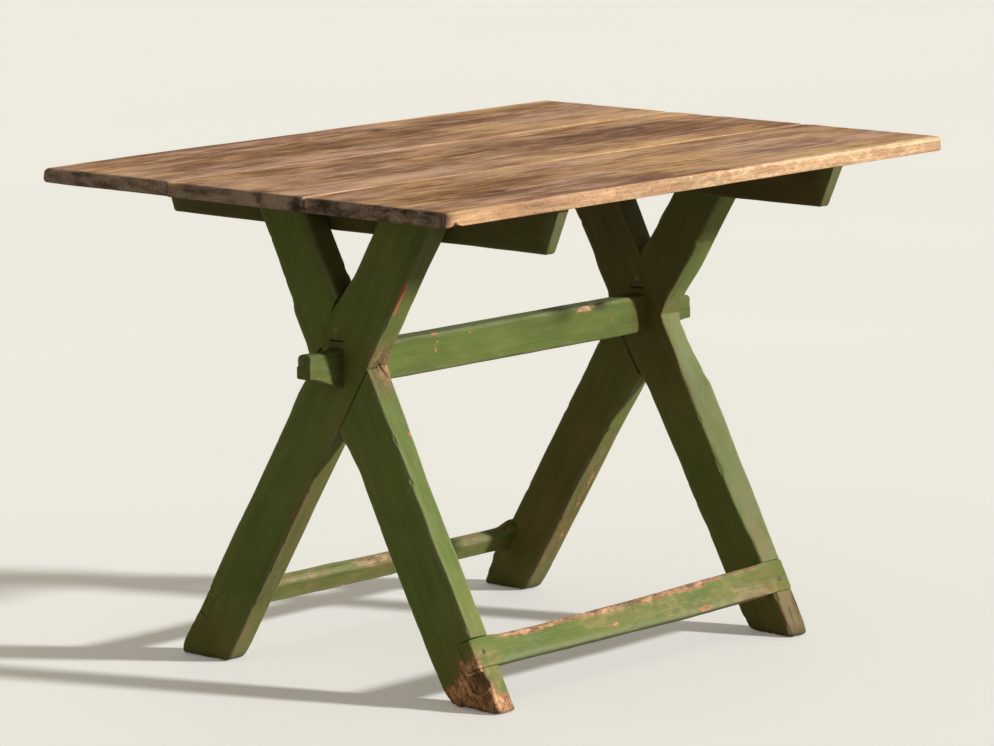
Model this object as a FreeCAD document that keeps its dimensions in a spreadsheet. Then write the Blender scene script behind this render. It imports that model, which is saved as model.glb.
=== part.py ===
import FreeCAD, Part
import os
import re
import Sketcher

# Sawbuck table: three top boards on two dovetailed battens, two crossed-leg trestles,
# a stretcher tenoned through both crossings, and two foot rails let into the legs.
# Frame: +Z up, +X along the boards, -Y the front, origin on the floor under the
# middle of the top.

# Driving dimensions, in millimetres and degrees.
SIZES = (
    ("table_height", 740, "floor to the upper face of the boards"),
    ("top_length", 1088, "length of the boards"),
    ("top_thickness", 22, "thickness of the boards"),
    ("back_board_width", 259, "width of the back board"),
    ("middle_board_width", 268, "width of the middle board"),
    ("front_board_width", 265, "width of the front board"),
    ("board_seam", 0.5, "open seam between neighbouring boards"),
    ("back_board_setback", 5, "how far the back board falls short at the left end"),
    ("corner_round", 8, "plan radius of the top's four corners"),
    ("board_edge_round", 3.5, "worn rounding of the top's outer edges"),
    ("batten_thickness", 21, "thickness of a batten"),
    ("left_batten_height", 66, "depth of the left batten below the boards"),
    ("right_batten_height", 61, "depth of the right batten below the boards"),
    ("left_batten_inset", 10, "from the board edge to the left batten's upper end"),
    ("right_batten_inset", 2, "from the board edge to the right batten's upper end"),
    ("batten_undercut", 26, "how much shorter a batten is along its lower edge, each end"),
    ("dovetail_stop", 26, "from the front edge to the start of the dovetails"),
    ("dovetail_depth", 8, "depth of the dovetail in the boards"),
    ("dovetail_flare", 3, "taper of the dovetail on each side"),
    ("trestle_reach", 348, "middle of the base to a trestle's outer face"),
    ("base_shift", 4, "how far the base stands to the right of the top's middle"),
    ("leg_width", 84, "width of a leg, square to its length"),
    ("leg_thickness", 42, "thickness of a leg along the table"),
    ("leg_arris", 4, "chamfer on a leg's long edges"),
    ("cross_y", -3, "place of the crossing, to the back"),
    ("cross_z", 470, "height of the crossing"),
    ("front_leg_lean", 28, "lean of the legs whose feet stand in front"),
    ("back_leg_lean", 31.9, "lean of the legs whose feet stand behind"),
    ("stretcher_y", 4, "middle of the stretcher, to the back"),
    ("stretcher_z", 463.5, "middle height of the stretcher"),
    ("stretcher_height", 57, "height of the stretcher"),
    ("stretcher_thickness", 32, "thickness of the stretcher"),
    ("stretcher_arris", 5, "chamfer on the stretcher's long edges"),
    ("tenon_height", 54, "height of the through tenon"),
    ("tenon_thickness", 27, "thickness of the through tenon"),
    ("tenon_reach", 68, "how far the tenon stands out of the trestle"),
    ("left_tenon_rise", 12, "rise of the left tenon's lower side towards its tip"),
    ("right_tenon_rise", 3, "rise of the right tenon's lower side towards its tip"),
    ("tenon_round", 8, "rounding of the tenon's tip"),
    ("wedge_thick_end", 12, "wedge above the tenon, at the trestle's outer face"),
    ("wedge_thin_end", 8, "wedge above the tenon, at the trestle's inner face"),
    ("front_rail_height", 44, "height of the front foot rail along the leg"),
    ("front_rail_depth", 24, "depth of the front foot rail into the legs"),
    ("front_rail_z", 83, "height of the middle of the front rail's outer face"),
    ("back_rail_height", 42, "height of the back foot rail along the leg"),
    ("back_rail_depth", 19, "depth of the back foot rail into the legs"),
    ("back_rail_z", 89, "height of the middle of the back rail's outer face"),
    ("leg_peg_diameter", 14, "peg through a leg's top and the batten"),
    ("lap_peg_diameter", 10, "peg through the crossing"),
    ("lap_peg_rise", 14, "middle of the lap peg above the wedge's thick end"),
    ("nail_head_diameter", 9, "head of a rail nail"),
    ("nail_head_thickness", 2, "thickness of a rail nail's head"),
    ("nail_shank_diameter", 4.5, "shank of a rail nail"),
    ("nail_length", 62, "length of a rail nail"),
    ("nail_point_length", 9, "tapered point of a rail nail"),
    ("fit_gap", 0.2, "clearance in the joints"),
    ("cut_overrun", 6, "how far a notch is drawn past the edge that it opens"),
)
SIZE_NAMES = {alias for alias, value, note in SIZES}

# Places worked out from the driving dimensions.
TOP_UNDER = "(table_height - top_thickness)"
TOP_WIDTH = "(back_board_width + middle_board_width + front_board_width + 2 * board_seam)"
TRESTLE_INNER = "(trestle_reach - leg_thickness)"
DOVETAIL_START = f"({TOP_WIDTH} / 2 - dovetail_stop)"
TENON_UNDER = "(stretcher_z - tenon_height / 2)"
TENON_TOP = "(stretcher_z + tenon_height / 2)"
TENON_TIP = "(trestle_reach + tenon_reach)"
LAP_PEG_Z = f"({TENON_TOP} + wedge_thick_end + lap_peg_rise)"

ALONG_X = FreeCAD.Vector(1, 0, 0)
ALONG_Y = FreeCAD.Vector(0, 1, 0)

doc = FreeCAD.newDocument("SawbuckTable")
sheet = doc.addObject("Spreadsheet::Sheet", "Sizes")
for row, (alias, value, note) in enumerate(SIZES, start=1):
    sheet.set(f"A{row}", alias)
    sheet.set(f"B{row}", str(value))
    sheet.setAlias(f"B{row}", alias)
    sheet.set(f"C{row}", note)
doc.recompute()

sub_parts = []


def formula(text):
    """Point every size named in a formula at its cell of the sheet."""
    return re.sub(r"[a-z_]+", lambda word: f"Sizes.{word[0]}" if word[0] in SIZE_NAMES else word[0], text)


def number(text):
    """Present value of a formula."""
    result = sheet.evalExpression(formula(text))
    return float(getattr(result, "Value", result))


def bind(thing, path, text):
    thing.setExpression(path, formula(text))


def place(thing, x="0", y="0", z="0", axis=None, angle="0"):
    """Bind an object's placement to formulas, with a turn about one axis."""
    if axis is not None:
        thing.Placement = FreeCAD.Placement(FreeCAD.Vector(), FreeCAD.Rotation(axis, number(angle)))
        bind(thing, "Placement.Rotation.Angle", angle)
    bind(thing, "Placement.Base.x", x)
    bind(thing, "Placement.Base.y", y)
    bind(thing, "Placement.Base.z", z)


def new_body(label):
    body = doc.addObject("PartDesign::Body", label)
    body.Label = label
    return body


def outlines(body, role, lift, shapes):
    """Sketch on an origin plane, moved along its normal by lift, with closed outlines.

    Each outline is a list of corners, and each corner a pair of formulas.
    """
    sketch = body.newObject("Sketcher::SketchObject", body.Label + "_outline")
    plane = next(item for item in body.Origin.OriginFeatures if item.Role == role)
    sketch.AttachmentSupport = [(plane, "")]
    sketch.MapMode = "FlatFace"
    bind(sketch, "AttachmentOffset.Base.z", lift)
    first = 0
    for corners in shapes:
        count = len(corners)
        spots = [FreeCAD.Vector(number(across), number(up), 0) for across, up in corners]
        for step in range(count):
            sketch.addGeometry(Part.LineSegment(spots[step], spots[(step + 1) % count]), False)
        for step in range(count):
            here = first + step
            after = first + (step + 1) % count
            sketch.addConstraint(Sketcher.Constraint("Coincident", here, 2, after, 1))
        for step, (across, up) in enumerate(corners):
            for kind, text in (("DistanceX", across), ("DistanceY", up)):
                limit = Sketcher.Constraint(kind, -1, 1, first + step, 1, number(text))
                index = sketch.addConstraint(limit)
                bind(sketch, f"Constraints[{index}]", text)
        first += count
    return sketch


def pad(body, sketch, length):
    feature = body.newObject("PartDesign::Pad", body.Label + "_pad")
    feature.Profile = sketch
    bind(feature, "Length", length)
    doc.recompute()
    return feature


def pocket(body, sketch, length=None):
    """Cut against the sketch's normal, to a depth or right through."""
    before = body.Shape.Volume
    feature = body.newObject("PartDesign::Pocket", body.Label + "_pocket")
    feature.Profile = sketch
    if length is None:
        feature.Type = "ThroughAll"
    else:
        bind(feature, "Length", length)
    doc.recompute()
    if not body.Shape.Volume < before:
        raise RuntimeError(f"{feature.Label} cuts nothing")
    return feature


def edges_where(shape, test):
    return [f"Edge{index}" for index, edge in enumerate(shape.Edges, start=1) if test(edge)]


def soften(body, kind, size_path, size, test):
    """Fillet or chamfer the edges of a body that pass a test."""
    base = body.Tip
    feature = body.newObject(f"PartDesign::{kind}", f"{body.Label}_{kind}")
    feature.Base = (base, edges_where(base.Shape, test))
    bind(feature, size_path, size)
    doc.recompute()
    return feature


def direction(edge):
    return (edge.Vertexes[-1].Point - edge.Vertexes[0].Point).normalize()


def finish(label, body, drills=()):
    """Take a piece into the list of sub-parts, drilled for its pegs and nails."""
    piece = body
    if drills:
        bits = doc.addObject("Part::Compound", label + "_drills")
        bits.Links = list(drills)
        piece = doc.addObject("Part::Cut", label + "_drilled")
        piece.Base = body
        piece.Tool = bits
        body.Label = label + "_blank"
    piece.Label = label
    sub_parts.append(piece)


def group(label, things):
    """Like fasteners as one sub-part of separate solids."""
    pieces = doc.addObject("Part::Compound", label)
    pieces.Links = list(things)
    pieces.Label = label
    sub_parts.append(pieces)


# Pegs and nails, each with the hole that it sits in
def peg(name, x, y, z, diameter, length):
    """Peg along X and its drill, from one formula each for place and size."""
    pair = []
    for suffix, room in (("", "0"), ("_hole", "fit_gap")):
        stick = doc.addObject("Part::Cylinder", name + suffix)
        bind(stick, "Radius", f"{diameter} / 2 + {room}")
        bind(stick, "Height", length)
        place(stick, x, y, z, ALONG_Y, "90")
        pair.append(stick)
    return pair


def nail(name, x, y, z, angle):
    """Nail turned about X, headed at its place, and its drill."""
    pair = []
    for suffix, room in (("", "0"), ("_hole", "fit_gap")):
        body = new_body(name + suffix)
        head = f"nail_head_diameter / 2 + {room}"
        shank = f"nail_shank_diameter / 2 + {room}"
        profile = outlines(body, "XZ_Plane", "0", [[
            ("0", "0"),
            (head, "0"),
            (head, f"nail_head_thickness + {room}"),
            (shank, f"nail_head_thickness + {room}"),
            (shank, "nail_length - nail_point_length"),
            ("0", f"nail_length + {room}"),
        ]])
        turned = body.newObject("PartDesign::Revolution", name + suffix + "_turned")
        turned.Profile = profile
        turned.ReferenceAxis = (profile, ["V_Axis"])
        turned.Angle = 360
        place(body, x, y, z, ALONG_X, angle)
        pair.append(body)
    return pair


# Legs and what is let into them
def leg_middle(foot, height):
    """Y of a leg's middle line at a height; foot is the side that the foot stands on."""
    lean = f"{foot}_leg_lean"
    sign = "-" if foot == "front" else "+"
    return f"(cross_y {sign} (cross_z - {height}) * tan({lean}))"


def leg_outline(foot, room="0"):
    """Side outline of a leg, level at the floor and under the boards."""
    half = f"((leg_width / 2 + {room}) / cos({foot}_leg_lean))"
    low = leg_middle(foot, "0")
    high = leg_middle(foot, TOP_UNDER)
    return [
        (f"{low} - {half}", "0"),
        (f"{low} + {half}", "0"),
        (f"{high} + {half}", TOP_UNDER),
        (f"{high} - {half}", TOP_UNDER),
    ]


def rail_point(foot, along, inward):
    """Point of a rail's section, measured along and square to the leg's outer edge."""
    lean = f"{foot}_leg_lean"
    sign = -1 if foot == "front" else 1
    middle = f"{foot}_rail_z"
    edge = f"({leg_middle(foot, middle)} + {sign} * leg_width / 2 / cos({lean}))"
    return (
        f"{edge} - {sign} * sin({lean}) * ({along}) - {sign} * cos({lean}) * ({inward})",
        f"{middle} + cos({lean}) * ({along}) - sin({lean}) * ({inward})",
    )


def rail_outline(foot, room="0", overrun="0"):
    """Section of a foot rail, or of its notch with some room, open past the edge."""
    half = f"{foot}_rail_height / 2 + {room}"
    deep = f"{foot}_rail_depth + {room}"
    return [
        rail_point(foot, f"-({half})", f"-({overrun})"),
        rail_point(foot, half, f"-({overrun})"),
        rail_point(foot, half, deep),
        rail_point(foot, f"-({half})", deep),
    ]


def wedge_outline(side, room="0"):
    """Long section of a wedge in its trestle's own x, thick at the outer face."""
    thick = f"{TENON_TOP} + wedge_thick_end + {room}"
    thin = f"{TENON_TOP} + wedge_thin_end + {room}"
    at_start, at_end = (thick, thin) if side == "left" else (thin, thick)
    return [
        ("0", TENON_TOP),
        ("leg_thickness", TENON_TOP),
        ("leg_thickness", at_end),
        ("0", at_start),
    ]


def trestle_start(side):
    return "(base_shift - trestle_reach)" if side == "left" else f"(base_shift + {TRESTLE_INNER})"


def leg(side, foot, drills):
    """Leg with its half lap, its share of the mortise and wedge slot, and the rail notch."""
    label = f"{side}_{foot}_leg"
    body = new_body(label)
    pad(body, outlines(body, "YZ_Plane", "0", [leg_outline(foot)]), "leg_thickness")
    soften(body, "Chamfer", "Size", "leg_arris", lambda edge: abs(direction(edge).z) > 0.1)
    # The back leg runs through on the trestle's outer half, the front leg on its inner half.
    lap_is_low = (side == "left") == (foot == "front")
    lap_end = "leg_thickness / 2" if lap_is_low else "leg_thickness"
    other = "back" if foot == "front" else "front"
    pocket(body, outlines(body, "YZ_Plane", lap_end, [leg_outline(other, "fit_gap")]), "leg_thickness / 2")
    half = "(tenon_thickness / 2 + fit_gap)"
    mortise = [
        (f"stretcher_y - {half}", f"{TENON_UNDER} - fit_gap"),
        (f"stretcher_y + {half}", f"{TENON_UNDER} - fit_gap"),
        (f"stretcher_y + {half}", TENON_TOP),
        (f"stretcher_y - {half}", TENON_TOP),
    ]
    pocket(body, outlines(body, "YZ_Plane", "leg_thickness", [mortise]))
    slot = outlines(body, "XZ_Plane", f"{half} - stretcher_y", [wedge_outline(side, "fit_gap")])
    pocket(body, slot, f"2 * {half}")
    notch = rail_outline(foot, "fit_gap", "cut_overrun")
    pocket(body, outlines(body, "YZ_Plane", "leg_thickness", [notch]))
    place(body, trestle_start(side))
    finish(label, body, drills)


def foot_rail(foot, drills):
    label = f"{foot}_foot_rail"
    body = new_body(label)
    pad(body, outlines(body, "YZ_Plane", "0", [rail_outline(foot)]), "2 * trestle_reach")
    place(body, trestle_start("left"))
    finish(label, body, drills)


def stretcher():
    """Chamfered bar between the trestles with a tapering through tenon at each end."""
    body = new_body("center_stretcher")
    side = "stretcher_thickness / 2"
    rise = "stretcher_height / 2"
    section = [
        (f"stretcher_y - {side}", f"stretcher_z - {rise}"),
        (f"stretcher_y + {side}", f"stretcher_z - {rise}"),
        (f"stretcher_y + {side}", f"stretcher_z + {rise}"),
        (f"stretcher_y - {side}", f"stretcher_z + {rise}"),
    ]
    pad(body, outlines(body, "YZ_Plane", f"-{TRESTLE_INNER}", [section]), f"2 * {TRESTLE_INNER}")
    soften(body, "Chamfer", "Size", "stretcher_arris", lambda edge: abs(direction(edge).x) > 0.9)
    tenons = [[
        (f"{sign} * {TRESTLE_INNER}", TENON_UNDER),
        (f"{sign} * trestle_reach", TENON_UNDER),
        (f"{sign} * {TENON_TIP}", f"{TENON_UNDER} + {end}_tenon_rise"),
        (f"{sign} * {TENON_TIP}", TENON_TOP),
        (f"{sign} * {TRESTLE_INNER}", TENON_TOP),
    ] for end, sign in (("left", -1), ("right", 1))]
    lift = "-(stretcher_y + tenon_thickness / 2)"
    pad(body, outlines(body, "XZ_Plane", lift, tenons), "tenon_thickness")
    tip = number(TENON_TIP)
    soften(body, "Fillet", "Radius", "tenon_round",
           lambda edge: all(abs(abs(end.X) - tip) < 0.01 for end in edge.Vertexes))
    place(body, "base_shift")
    finish("center_stretcher", body)


def tenon_wedge(side):
    label = f"{side}_tenon_wedge"
    body = new_body(label)
    lift = "-(stretcher_y + tenon_thickness / 2)"
    pad(body, outlines(body, "XZ_Plane", lift, [wedge_outline(side)]), "tenon_thickness")
    place(body, trestle_start(side))
    finish(label, body)


# Battens and boards
def batten_start(side):
    """X of a batten's left face: both battens lie on the trestles' inner sides."""
    if side == "left":
        return f"(base_shift - {TRESTLE_INNER})"
    return f"(base_shift + {TRESTLE_INNER} - batten_thickness)"


def batten(side, drills):
    """Bar under the boards with a dovetail along its upper side and undercut ends."""
    label = f"{side}_batten"
    body = new_body(label)
    half_length = f"({TOP_WIDTH} / 2 - {side}_batten_inset)"
    under = f"({TOP_UNDER} - {side}_batten_height)"
    tail_top = f"{TOP_UNDER} + dovetail_depth"
    section = [
        ("0", under),
        ("batten_thickness", under),
        ("batten_thickness", TOP_UNDER),
        ("batten_thickness - dovetail_flare", TOP_UNDER),
        ("batten_thickness", tail_top),
        ("0", tail_top),
        ("dovetail_flare", TOP_UNDER),
        ("0", TOP_UNDER),
    ]
    pad(body, outlines(body, "XZ_Plane", f"-{half_length}", [section]), f"2 * {half_length}")
    undercuts = [[
        (f"{sign} * {half_length}", under),
        (f"{sign} * {half_length}", TOP_UNDER),
        (f"{sign} * ({half_length} - batten_undercut)", under),
    ] for sign in (-1, 1)]
    pocket(body, outlines(body, "YZ_Plane", "batten_thickness", undercuts))
    before_tail = [
        (f"-{half_length}", TOP_UNDER),
        (f"-{DOVETAIL_START}", TOP_UNDER),
        (f"-{DOVETAIL_START}", tail_top),
        (f"-{half_length}", tail_top),
    ]
    pocket(body, outlines(body, "YZ_Plane", "batten_thickness", [before_tail]))
    place(body, batten_start(side))
    finish(label, body, drills)


def board(label, near_y, far_y, left_setback, outer_side):
    """Board with its two dovetail grooves; outer_side is -1, 0 or 1 for its free long edge."""
    body = new_body(label)
    left = f"-top_length / 2 + {left_setback}"
    right = "top_length / 2"
    plan = [(left, near_y), (right, near_y), (right, far_y), (left, far_y)]
    pad(body, outlines(body, "XY_Plane", TOP_UNDER, [plan]), "top_thickness")
    free_y = {-1: number(near_y), 0: None, 1: number(far_y)}[outer_side]
    if free_y is not None:
        soften(body, "Fillet", "Radius", "corner_round",
               lambda edge: abs(direction(edge).z) > 0.9 and abs(edge.Vertexes[0].Y - free_y) < 0.01)
    seams = {number(near_y), number(far_y)} - {free_y}

    def outer(edge):
        """Edge of the upper or lower face that doesn't lie along a seam."""
        level = abs(edge.Vertexes[0].Z - edge.Vertexes[-1].Z) < 0.01
        in_seam = any(all(abs(end.Y - seam) < 0.01 for end in edge.Vertexes) for seam in seams)
        return level and not in_seam

    soften(body, "Fillet", "Radius", "board_edge_round", outer)
    lip = "(dovetail_flare - fit_gap)"
    roof = f"{TOP_UNDER} + dovetail_depth + fit_gap"
    grooves = [[
        (f"{batten_start(side)} + {lip}", TOP_UNDER),
        (f"{batten_start(side)} + batten_thickness - {lip}", TOP_UNDER),
        (f"{batten_start(side)} + batten_thickness + fit_gap", roof),
        (f"{batten_start(side)} - fit_gap", roof),
    ] for side in ("left", "right")]
    # The grooves start behind the front edge and run out at the back.
    pocket(body, outlines(body, "XZ_Plane", f"{DOVETAIL_START} + fit_gap", grooves))
    finish(label, body)


# Fasteners come first, because the wooden pieces are drilled for them.
FEET = ("front", "back")
leg_pegs = {}
lap_pegs = {}
rail_nails = {}
for side in ("left", "right"):
    start = trestle_start(side)
    peg_start = start if side == "left" else batten_start(side)
    peg_length = "leg_thickness + batten_thickness"
    peg_z = f"({TOP_UNDER} - {side}_batten_height / 2)"
    for foot in FEET:
        leg_pegs[side, foot] = peg(f"{side}_{foot}_leg_peg", peg_start, leg_middle(foot, peg_z),
                                   peg_z, "leg_peg_diameter", peg_length)
        edge_y, edge_z = rail_point(foot, "0", "0")
        turn = "-(90 + front_leg_lean)" if foot == "front" else "90 + back_leg_lean"
        rail_nails[side, foot] = nail(f"{side}_{foot}_rail_nail", f"{start} + leg_thickness / 2",
                                      edge_y, edge_z, turn)
    lap_pegs[side] = peg(f"{side}_lap_peg", start, "stretcher_y", LAP_PEG_Z, "lap_peg_diameter", "leg_thickness")
doc.recompute()

front_edge = f"-{TOP_WIDTH} / 2"
front_seam = f"({front_edge} + front_board_width)"
back_seam = f"({TOP_WIDTH} / 2 - back_board_width)"
board("front_board", front_edge, front_seam, "0", -1)
board("middle_board", f"({front_seam} + board_seam)", f"({back_seam} - board_seam)", "0", 0)
board("back_board", back_seam, f"({TOP_WIDTH} / 2)", "back_board_setback", 1)

stretcher()
for side in ("left", "right"):
    batten(side, [leg_pegs[side, foot][1] for foot in FEET])
    for foot in FEET:
        holes = [leg_pegs[side, foot][1], lap_pegs[side][1], rail_nails[side, foot][1]]
        leg(side, foot, holes)
    tenon_wedge(side)
    group(f"{side}_leg_pegs", [leg_pegs[side, foot][0] for foot in FEET])
    lap_pegs[side][0].Label = f"{side}_lap_peg"
    sub_parts.append(lap_pegs[side][0])
for foot in FEET:
    foot_rail(foot, [rail_nails[side, foot][1] for side in ("left", "right")])
    group(f"{foot}_rail_nails", [rail_nails[side, foot][0] for side in ("left", "right")])

doc.recompute()
for thing in doc.Objects:
    if {"Invalid", "Error"} & set(thing.State):
        raise RuntimeError(f"{thing.Label} did not build: {thing.State}")
for piece in sub_parts:
    if piece.Shape.isNull() or not piece.Shape.isValid():
        raise RuntimeError(f"{piece.Label} has no sound shape")

os.makedirs("parts", exist_ok=True)
for piece in sub_parts:
    piece.Shape.exportStep(f"parts/{piece.Label}.step")
    box = piece.Shape.BoundBox
    print(f"{piece.Label}: {len(piece.Shape.Solids)} solids, {box.XLength:.1f} x {box.YLength:.1f}"
          f" x {box.ZLength:.1f} mm, {piece.Shape.Volume / 1000:.1f} cm3")
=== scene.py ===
import itertools
import math

import bpy
import numpy as np
from mathutils import Matrix, Vector


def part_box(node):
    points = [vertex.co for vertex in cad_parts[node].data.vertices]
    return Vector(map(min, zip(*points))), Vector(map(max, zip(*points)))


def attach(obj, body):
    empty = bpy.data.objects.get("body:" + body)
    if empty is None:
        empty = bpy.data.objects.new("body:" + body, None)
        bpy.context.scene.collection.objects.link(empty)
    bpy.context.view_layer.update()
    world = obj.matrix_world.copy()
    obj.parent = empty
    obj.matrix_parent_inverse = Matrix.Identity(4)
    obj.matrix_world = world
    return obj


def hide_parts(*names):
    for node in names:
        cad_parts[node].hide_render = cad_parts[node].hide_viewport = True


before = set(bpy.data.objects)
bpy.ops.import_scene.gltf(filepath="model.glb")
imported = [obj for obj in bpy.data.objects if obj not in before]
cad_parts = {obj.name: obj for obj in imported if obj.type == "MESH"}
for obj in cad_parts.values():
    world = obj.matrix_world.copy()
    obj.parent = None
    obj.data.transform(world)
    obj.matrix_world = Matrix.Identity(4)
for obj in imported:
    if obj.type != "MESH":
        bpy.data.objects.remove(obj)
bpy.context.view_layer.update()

bl_info = {
    "name": "Sawbuck Table", "version": (1, 0, 0), "blender": (4, 5, 0),
    "location": "3D View > Sidebar > Table",
    "description": "Dresses a crossed-leg farm table in worn pine boards and old green paint",
    "category": "Object"}

MM = 0.001
SIDES = ("left", "right")
FEET = ("front", "back")
BOARDS = ("front_board", "middle_board", "back_board")
X_AXIS = Vector((1, 0, 0))
# Closer rows of points beside an edge, as shares of the edge's width
EDGE_ROWS = (0.0, 0.12, 0.3, 0.55, 0.85, 1.25, 1.8)
# Least lean of a surface that counts as an arris, and the width of its nicks in millimetres
ARRIS_LEAN = 0.25
NICK_WIDTH = 12


# Settings that a user would change

def length_setting(name, description, default, least, most):
    """Length that the user can change, given in millimetres."""
    return bpy.props.FloatProperty(name=name, description=description, default=default * MM,
                                   min=least * MM, max=most * MM, unit="LENGTH")


def colour_setting(name, description, default):
    """Colour that the user can change."""
    return bpy.props.FloatVectorProperty(name=name, description=description, default=default,
                                         subtype="COLOR", size=3, min=0.0, max=1.0)


class TopSettings(bpy.types.PropertyGroup):
    """Boards of the top."""
    edge_round: length_setting("Edge Rounding", "Worn rounding of the free edges", 4.5, 0.5, 10)
    seam_round: length_setting("Seam Rounding", "Worn rounding along the seams", 1.4, 0.2, 4)
    hollow: length_setting("Worn Hollows", "Depth of the hollows worn into the upper face", 0.9, 0.0, 3)
    early_wood: colour_setting("Early Wood", "Tan wood between the growth rings", (0.58, 0.344, 0.202))
    late_wood: colour_setting("Late Wood", "Brown wood of the growth rings", (0.345, 0.173, 0.087))
    weathered: colour_setting("Weathered", "Darkest brown of the worn fields", (0.150, 0.073, 0.038))
    fresh: colour_setting("Rubbed Edge", "Honey-coloured wood where edges and seams are rubbed",
                          (0.79, 0.505, 0.280))
    end_grain: colour_setting("End Grain", "Grey-brown of the boards' ends", (0.46, 0.330, 0.280))


class BaseSettings(bpy.types.PropertyGroup):
    """Trestles, stretcher, rails and battens."""
    arris_round: length_setting("Arris Rounding", "Worn rounding of the long edges", 4.2, 0.5, 10)
    hewing: length_setting("Hewing", "Unevenness of the hand-planed faces", 0.6, 0.0, 3)
    paint: colour_setting("Paint", "Old green oil paint", (0.150, 0.194, 0.045))
    # Chalked paint is also used as painted light on the faces that the key light falls on.
    chalked: colour_setting("Chalked Paint", "Paint that has faded and rubbed thin", (0.218, 0.242, 0.110))
    undercoat: colour_setting("Undercoat", "Red coat under the green", (0.52, 0.20, 0.10))
    # Bare wood is set light, partly as painted light at the feet, where the floor throws light up.
    bare: colour_setting("Bare Wood", "Wood where the paint is gone", (0.60, 0.36, 0.213))
    # This colour darkens dirt and painted shade alike.
    grime: colour_setting("Grime", "Dirt in the corners and at the feet", (0.060, 0.042, 0.022))


class StageSettings(bpy.types.PropertyGroup):
    """Floor, light and camera."""
    floor: colour_setting("Floor", "Pale floor", (0.95, 0.935, 0.905))
    key: bpy.props.FloatProperty(
        name="Key Light", description="Strength of the light from the front right",
        default=3.7, min=0.0, max=10.0)
    fill: bpy.props.FloatProperty(
        name="Fill Light", description="Strength of the light from all round",
        default=0.265, min=0.0, max=2.0)
    bounce: bpy.props.FloatProperty(
        name="Floor Bounce", description="Share of the floor's colour that lights the table from below",
        default=0.3, min=0.0, max=1.0)


# Seeded noise over space

class SmoothNoise:
    """Value noise from -1 to 1 that repeats after KNOTS cells."""
    KNOTS = 32

    def __init__(self, seed):
        draw = np.random.default_rng(seed)
        self.knots = draw.uniform(-1, 1, (self.KNOTS,) * 3)

    def __call__(self, points, size):
        """Noise at points, with features of the given size along each axis, in millimetres."""
        place = points / (np.asarray(size, float) * MM)
        cell = np.floor(place).astype(int)
        blend = place - cell
        blend = blend * blend * (3 - 2 * blend)
        value = np.zeros(len(points))
        for corner in itertools.product((0, 1), repeat=3):
            weight = np.prod(np.where(corner, blend, 1 - blend), axis=1)
            knot = (cell + corner) % self.KNOTS
            value += weight * self.knots[knot[:, 0], knot[:, 1], knot[:, 2]]
        return value


def smooth_step(low, high, value):
    """0 below low, 1 above high, and a smooth ramp between; low may lie above high."""
    share = np.clip((value - low) / (high - low), 0, 1)
    return share * share * (3 - 2 * share)


def fade(low, high, value):
    """Smooth step between two lengths in millimetres."""
    return smooth_step(low * MM, high * MM, value)


def nearing(reach, far, near, value):
    """Smooth step between two distances short of a reach, in millimetres."""
    return smooth_step(reach - far * MM, reach - near * MM, value)


def profile(places, knots):
    """Offset at each place along a piece, eased between knots of (place, offset) in millimetres."""
    at, value = (np.array(column) * MM for column in zip(*knots))
    index = np.clip(np.searchsorted(at, places) - 1, 0, len(at) - 2)
    share = smooth_step(at[index], at[index + 1], places)
    return value[index] + (value[index + 1] - value[index]) * share


def spots(points, places):
    """Soft patches: each place has a middle, the reach along three axes and a strength."""
    strongest = np.zeros(len(points))
    for middle, reach, strength in places:
        off = (points - np.array(middle) * MM) / (np.array(reach) * MM)
        strongest = np.maximum(strongest, strength * np.exp(-(off ** 2).sum(1)))
    return strongest


def plane_marks(shape, points, broad, fine, shift):
    """Long marks of the plane and finer dents, each given as weight, length and width."""
    weight, length, width = broad
    marks = weight * shape(points, (length, width, width))
    weight, length, width = fine
    return marks + weight * shape(points + shift, (length, width, width))


def nicks(shape, points, outward, shift, length, least, most):
    """Where small dents break the arrises, from 0 to 1."""
    on_arris = np.minimum(np.abs(outward[:, 1]), np.abs(outward[:, 2])) > ARRIS_LEAN
    return on_arris * smooth_step(least, most, shape(points + shift, (length, NICK_WIDTH, NICK_WIDTH)))


# Blocks of timber, with grain along their own x

def stations(half, step, edge):
    """Places from -half to half, closer within an edge's width of both ends; step and edge in millimetres."""
    near = np.array(EDGE_ROWS) * (edge * MM)
    start = half - near[-1]
    count = max(2, round(2 * start / (step * MM)) + 1)
    return np.concatenate((near[:-1] - half, np.linspace(-start, start, count), half - near[-2::-1]))


def lattice(along, across, through):
    """Closed grid on the surface of a box: its points and its quads, facing outwards."""
    counts = (len(along), len(across), len(through))
    index = np.full(counts, -1)
    grid = np.indices(counts)
    on_surface = np.zeros(counts, bool)
    for axis in range(3):
        on_surface |= (grid[axis] == 0) | (grid[axis] == counts[axis] - 1)
    index[on_surface] = np.arange(on_surface.sum())
    points = np.stack([np.asarray(values)[grid[axis][on_surface]]
                       for axis, values in enumerate((along, across, through))], axis=1)
    quads = []
    for axis in range(3):
        sheet = np.moveaxis(index, axis, 0)
        if axis == 1:
            sheet = np.swapaxes(sheet, 1, 2)
        for end, flip in ((-1, False), (0, True)):
            side = sheet[end]
            loop = [side[:-1, :-1], side[1:, :-1], side[1:, 1:], side[:-1, 1:]]
            quad = np.stack([corner.ravel() for corner in loop], axis=1)
            quads.append(quad[:, ::-1] if flip else quad)
    return points, np.concatenate(quads)


def block(half, *spacing):
    """Grid on a box, with a step and an edge's width along each axis, in millimetres."""
    return lattice(*(stations(reach, *rows) for reach, rows in zip(half, spacing)))


def rounded(points, half, radius):
    """Points of a box drawn in to rounded edges, with the outward direction at each."""
    inner = np.maximum(half - radius[:, None], 0)
    core = np.clip(points, -inner, inner)
    outward = points - core
    outward /= np.linalg.norm(outward, axis=1, keepdims=True)
    return core + outward * radius[:, None], outward


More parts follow.
